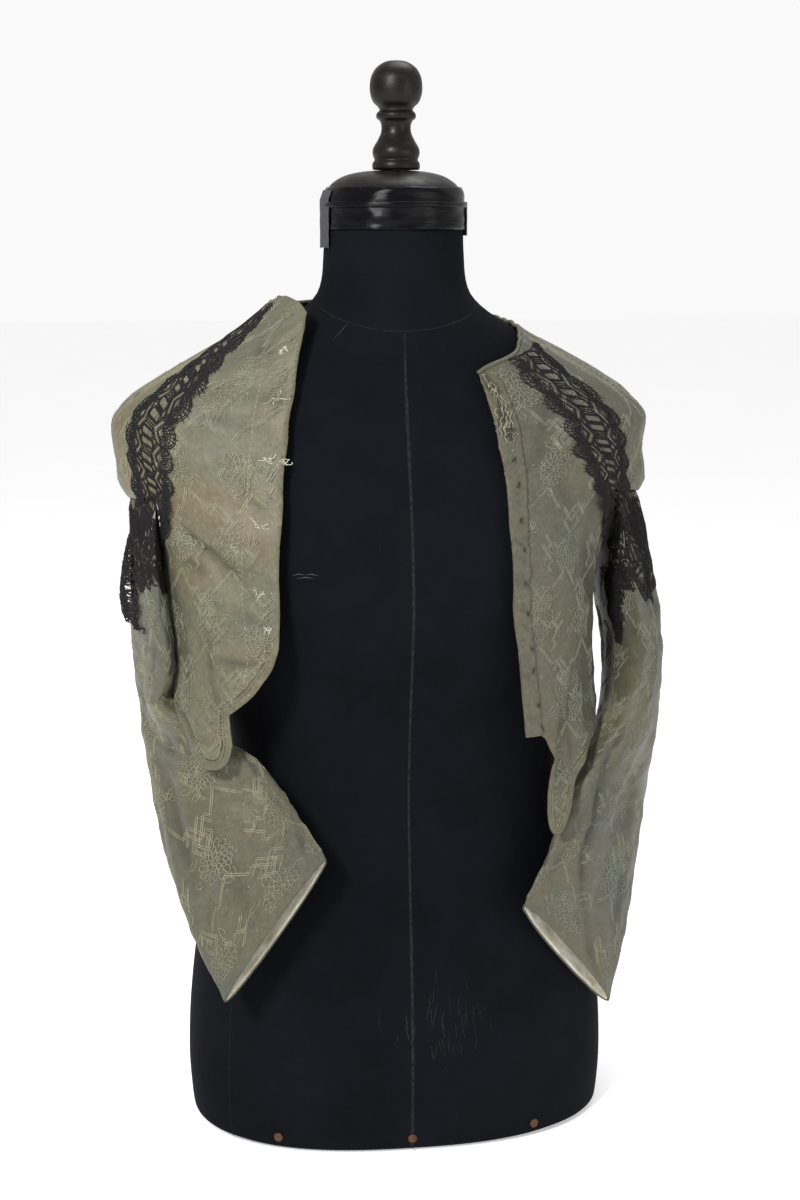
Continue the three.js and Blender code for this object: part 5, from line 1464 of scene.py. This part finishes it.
# %% Torso and its seams
# height, half-width, depth to the front and back, squareness
FORM_TOP = 722
FORM = np.array([
    (0, 160, 110, 101, 2.5), (2.5, 166, 115.5, 106.5, 2.5), (8, 168, 117, 108, 2.5),
    (45, 170, 119, 112, 2.5), (100, 167, 118, 115, 2.5), (170, 157, 109, 109, 2.5),
    (230, 142, 99, 93, 2.5), (285, 131, 93, 81, 2.5), (340, 135, 101, 82, 2.5),
    (390, 144, 113, 88, 2.5), (430, 151, 121, 95, 2.5), (470, 157, 117, 101, 2.5),
    (510, 167, 106, 104, 2.5), (545, 181, 93, 101, 2.5), (570, 184, 83, 95, 2.5),
    (590, 168, 76, 89, 2.5), (610, 136, 71, 82, 2.4), (630, 99, 67, 74, 2.3),
    (647, 71, 62, 65, 2.2), (662, 58, 57, 58, 2), (690, 54, 54, 54, 2),
    (FORM_TOP, 53.5, 53.5, 53.5, 2),
], float)


def form_point(x, z, out=0.0):
    """Places on the form: x is turn times the same millimetres as on the jacket."""
    turn = np.asarray(x, float) / DEGREE
    side, front, rear, power = (smooth(FORM[:, 0], FORM[:, k], z) for k in (1, 2, 3, 4))

    def ring(at):
        across, deep = section(at, side, side, front, rear, power)
        return np.stack([across, deep, z], -1)

    outward = unit(np.cross(ring(turn + 1) - ring(turn - 1), [0, 0, 1.0]))
    return ring(turn) + outward * np.broadcast_to(out, turn.shape)[:, None]


torso = flat_grid(-180 * DEGREE, 180 * DEGREE, 0, FORM_TOP, 4.8)
lay(torso, form_point)
bmesh.ops.remove_doubles(torso, verts=torso.verts[:], dist=1e-6)
bmesh.ops.holes_fill(torso, edges=[edge for edge in torso.edges if edge.is_boundary])
bmesh.ops.recalc_face_normals(torso, faces=torso.faces[:])
torso_piece = add_piece(torso, "form_torso.jersey", JERSEY, ["form_torso"])
for polygon in torso_piece.data.polygons:
    polygon.use_smooth = len(polygon.vertices) < 5


# %% Seams and marks of the form
NECK_SEAM_TURNS = np.linspace(-180, 180, 13)
NECK_SEAM_Z = [664, 662, 660, 657, 650, 641, 634, 641, 650, 657, 660, 662, 664]
form_seams = [sampled([(turn * DEGREE, z) for turn, z in zip(NECK_SEAM_TURNS, NECK_SEAM_Z)])]
SEAM_TOPS = {0: 633, 180: 663, -52: 600, 52: 600, -90: 590, 90: 590, -135: 600, 135: 600}
for turn, top in SEAM_TOPS.items():
    form_seams.append(sampled([(turn * DEGREE, 3), (turn * DEGREE * 1.02, 300), (turn * DEGREE, top)]))
seams = lay(strips(form_seams, 0.7, 0.22), form_point, -0.05)
add_piece(seams, "form_torso.seams", SEAM)
SCRATCHES = ((-71, 459, -61, 460), (-61, 460, -51, 459.5), (-68, 457, -54, 457.5), (-66, 628, -66, 640))
random.seed(12)
marks = []
for _ in range(46):
    x, z = random.gauss(14, 11), random.gauss(100, 16)
    marks.append([(x, z), (x + random.uniform(-1, 1), z + random.uniform(4, 13))])
for x0, z0, x1, z1 in SCRATCHES:
    marks.append([(x0, z0), ((x0 + x1) / 2, (z0 + z1) / 2 + 1), (x1, z1)])
chalk = lay(strips(marks, 0.55, 0.05, 0.9), form_point, 0.1)
add_piece(chalk, "form_torso.chalk", CHALK)

# %% [markdown]
# ## Cap, knob and tape
# Wood is turned on a lathe, so a profile spun round an axis is the natural way to make it. The
# stretched tape is a spun profile too, with a little noise in its radius for its wrinkles.

# %% Turned pieces
def turned(profile, count, closed=False, x=0.0, wrinkle=0.0, seed=0):
    """Spins a profile of (radius, height) round the upright axis at x."""
    points = np.array(profile, float)
    reach = reach_of(points)
    at = np.linspace(0, reach[-1], count)
    radius, height = smooth(reach, points[:, 0], at), smooth(reach, points[:, 1], at)
    bm = bmesh.new()
    chain = [bm.verts.new((max(r, 0), 0, z)) for r, z in zip(radius, height)]
    chain = chain[:-1] + [chain[0]] if closed else chain
    edges = [bm.edges.new(pair) for pair in zip(chain, chain[1:])]
    bmesh.ops.delete(bm, geom=[vert for vert in bm.verts if not vert.link_edges], context="VERTS")
    bmesh.ops.spin(bm, geom=bm.verts[:] + edges, axis=(0, 0, 1), cent=(0, 0, 0), dvec=(0, 0, 0),
                   angle=math.tau, steps=112, use_merge=True, use_duplicate=False)
    bmesh.ops.remove_doubles(bm, verts=bm.verts[:], dist=1e-4)
    bmesh.ops.recalc_face_normals(bm, faces=bm.faces[:])
    for vert in bm.verts:
        away = math.hypot(vert.co.x, vert.co.y)
        if wrinkle and away > 1:
            angle = math.atan2(vert.co.y, vert.co.x)
            place_at = Vector((math.cos(angle) * 3 + seed, math.sin(angle) * 3, vert.co.z / 7))
            swell = 1 + wrinkle * noise.noise(place_at) / away
            vert.co.x, vert.co.y = vert.co.x * swell, vert.co.y * swell
        vert.co = Vector((vert.co.x + x, vert.co.y, vert.co.z)) * MM
    return bm


CAP = [
    (0, 722.3), (30, 722.3), (50, 722.3), (52, 722.6), (52.4, 725), (52.4, 731), (51.8, 735), (50, 738.8),
    (46, 743), (38, 747.6), (26, 750.6), (12, 751.8), (0, 752),
]
KNOB = [
    (0, 752.3), (12, 752.3), (17.3, 752.3), (18, 753), (18.2, 756), (17.6, 758), (16.5, 759.4), (17.0, 761),
    (17.8, 763.5), (18, 766), (17.2, 769), (14.8, 773), (12, 778.5), (11.2, 782), (11.3, 785.5),
    (12.6, 788.6), (14.4, 790), (15, 791.2), (15, 793.4), (14, 795), (12.6, 796.4), (14, 799),
    (17, 801.8), (19.3, 807),
    (20, 813.5), (18.9, 821), (15, 827.6), (8, 832), (0, 833),
]
TAPE_OUTSIDE = [
    (53.9, 708), (55.3, 707.9), (55.3, 712), (55.0, 718), (54.9, 724), (54.3, 731.5), (53.4, 736),
    (51.8, 739.4), (51.2, 738.9), (53.0, 733), (53.3, 727), (53.7, 715), (53.9, 708),
]
add_piece(turned(CAP, 60), "form_cap.wood", WOOD, ["form_cap"])
add_piece(turned(KNOB, 130, x=2.0), "form_knob.wood", WOOD, ["form_knob"])
add_piece(turned(TAPE_OUTSIDE, 56, True, 0.0, 1.3, 4), "form_tape.vinyl", TAPE, ["form_tape"])
TAPE_EDGE = [(54.7, 724.5), (56.0, 724.3), (56.2, 726), (55.9, 728), (54.5, 728.6), (54.7, 724.5)]
add_piece(turned(TAPE_EDGE, 22, True, 0.0, 0.9, 9), "form_tape.lap", TAPE)

# %% [markdown]
# ## Tape patches and tacks
# A patch is a flat grid with a ragged rim, bent round the neck. A tack is a squashed ball whose
# middle lies on the form's surface, turned the way that the surface faces.

# %% Tape patches and tacks
PATCHES = {"right": (-112, -68, 694, 737), "left": (74, 104, 703, 728)}  # turns, heights
PATCH_RADIUS, TACK_HEIGHT, TACK_RADIUS = 56.5, 12.0, 3.6
for name, (turn0, turn1, low, high) in PATCHES.items():
    patch = flat_grid(turn0, turn1, low, high, 1.3)
    for vert in patch.verts:
        ragged = 0.9 * noise.noise(Vector((vert.co.x / 3, vert.co.y / 4, 5)))
        edge = min(vert.co.x - turn0, turn1 - vert.co.x) < 0.01
        rim = min(vert.co.y - low, high - vert.co.y) < 0.01
        vert.co.x += ragged * edge
        vert.co.y += ragged * rim
    uv = patch.loops.layers.uv.new("flat")
    for face in patch.faces:
        for loop in face.loops:
            loop[uv].uv = (loop.vert.co.x * MM, loop.vert.co.y * MM)
    for vert in patch.verts:
        angle, height = math.radians(vert.co.x), vert.co.y
        lean = max(0.0, height - 730) * 0.35
        puff = 0.35 * noise.noise(Vector((vert.co.x / 9, vert.co.y / 8, 2)))
        radius = PATCH_RADIUS + puff - lean
        vert.co = Vector((math.sin(angle) * radius, -math.cos(angle) * radius, height)) * MM
    node = "form_patch_" + name
    add_piece(patch, node + ".cloth", PATCH, [node], 0.7)

for i, turn in enumerate((-33, 0, 31)):
    tack = bmesh.new()
    bmesh.ops.create_uvsphere(tack, u_segments=20, v_segments=12, radius=TACK_RADIUS)
    foot = form_point(np.array([turn * DEGREE]), np.array([TACK_HEIGHT]))[0]
    outer = form_point(np.array([turn * DEGREE]), np.array([TACK_HEIGHT]), 1.0)[0]
    facing = Vector(outer - foot).to_track_quat("Z", "Y").to_matrix()
    for vert in tack.verts:
        flat = Vector((vert.co.x, vert.co.y, vert.co.z * 0.42 + 0.5))
        flat *= 1 + 0.08 * noise.noise(flat * 0.8 + Vector((i * 7, 0, 0)))
        vert.co = (facing @ flat + Vector(foot)) * MM
    node = f"form_tack_{i + 1}"
    add_piece(tack, node + ".iron", RUST, [node])
print("form ready")

# %% [markdown]
# ## Sheets and sizes
# The flat sizes that the panels, lace and tape patches had before they were worn are worked out
# here. The panels' cuts are their flat drawings, and the lace is measured along its band.

# %% Sheets
for name, outline in OUTLINES.items():
    width, length, area = sheet_size(outline)
    with_pieces = [figures[name], shaded[name]]
    if name == "front_right":
        with_pieces += [piping_piece]
for name in SLEEVES:
    node = "sleeve_" + name


def open_area(piece, width, length):
    """How much of a band is thread and not holes; a torn heap's is no more than its whole cut."""
    return min(sum(polygon.area for polygon in piece.data.polygons), width * length)


# metres wide and long, and the piece that it lies on
LACE_CUTS = {
    "lace_yoke_right": (0.059, 0.215, "cap_right"), "lace_yoke_left": (0.059, 0.184, "cap_left"),
    "lace_arm_right": (0.05, 0.17, "sleeve_right"), "lace_arm_left": (0.063, 0.17, "sleeve_left"),
    "lace_tuft_right": (0.06, 0.1, "lace_arm_right"), "lace_drop_left": (0.05, 0.06, "sleeve_left"),
}
for name, (width, length, under) in LACE_CUTS.items():
    area = open_area(laces[name], width, length)
    print(name, "covers", round(area / MM / MM), "mm2")
for name, (turn0, turn1, low, high) in PATCHES.items():
    flat = (math.radians(turn1 - turn0) * PATCH_RADIUS * MM, (high - low) * MM)
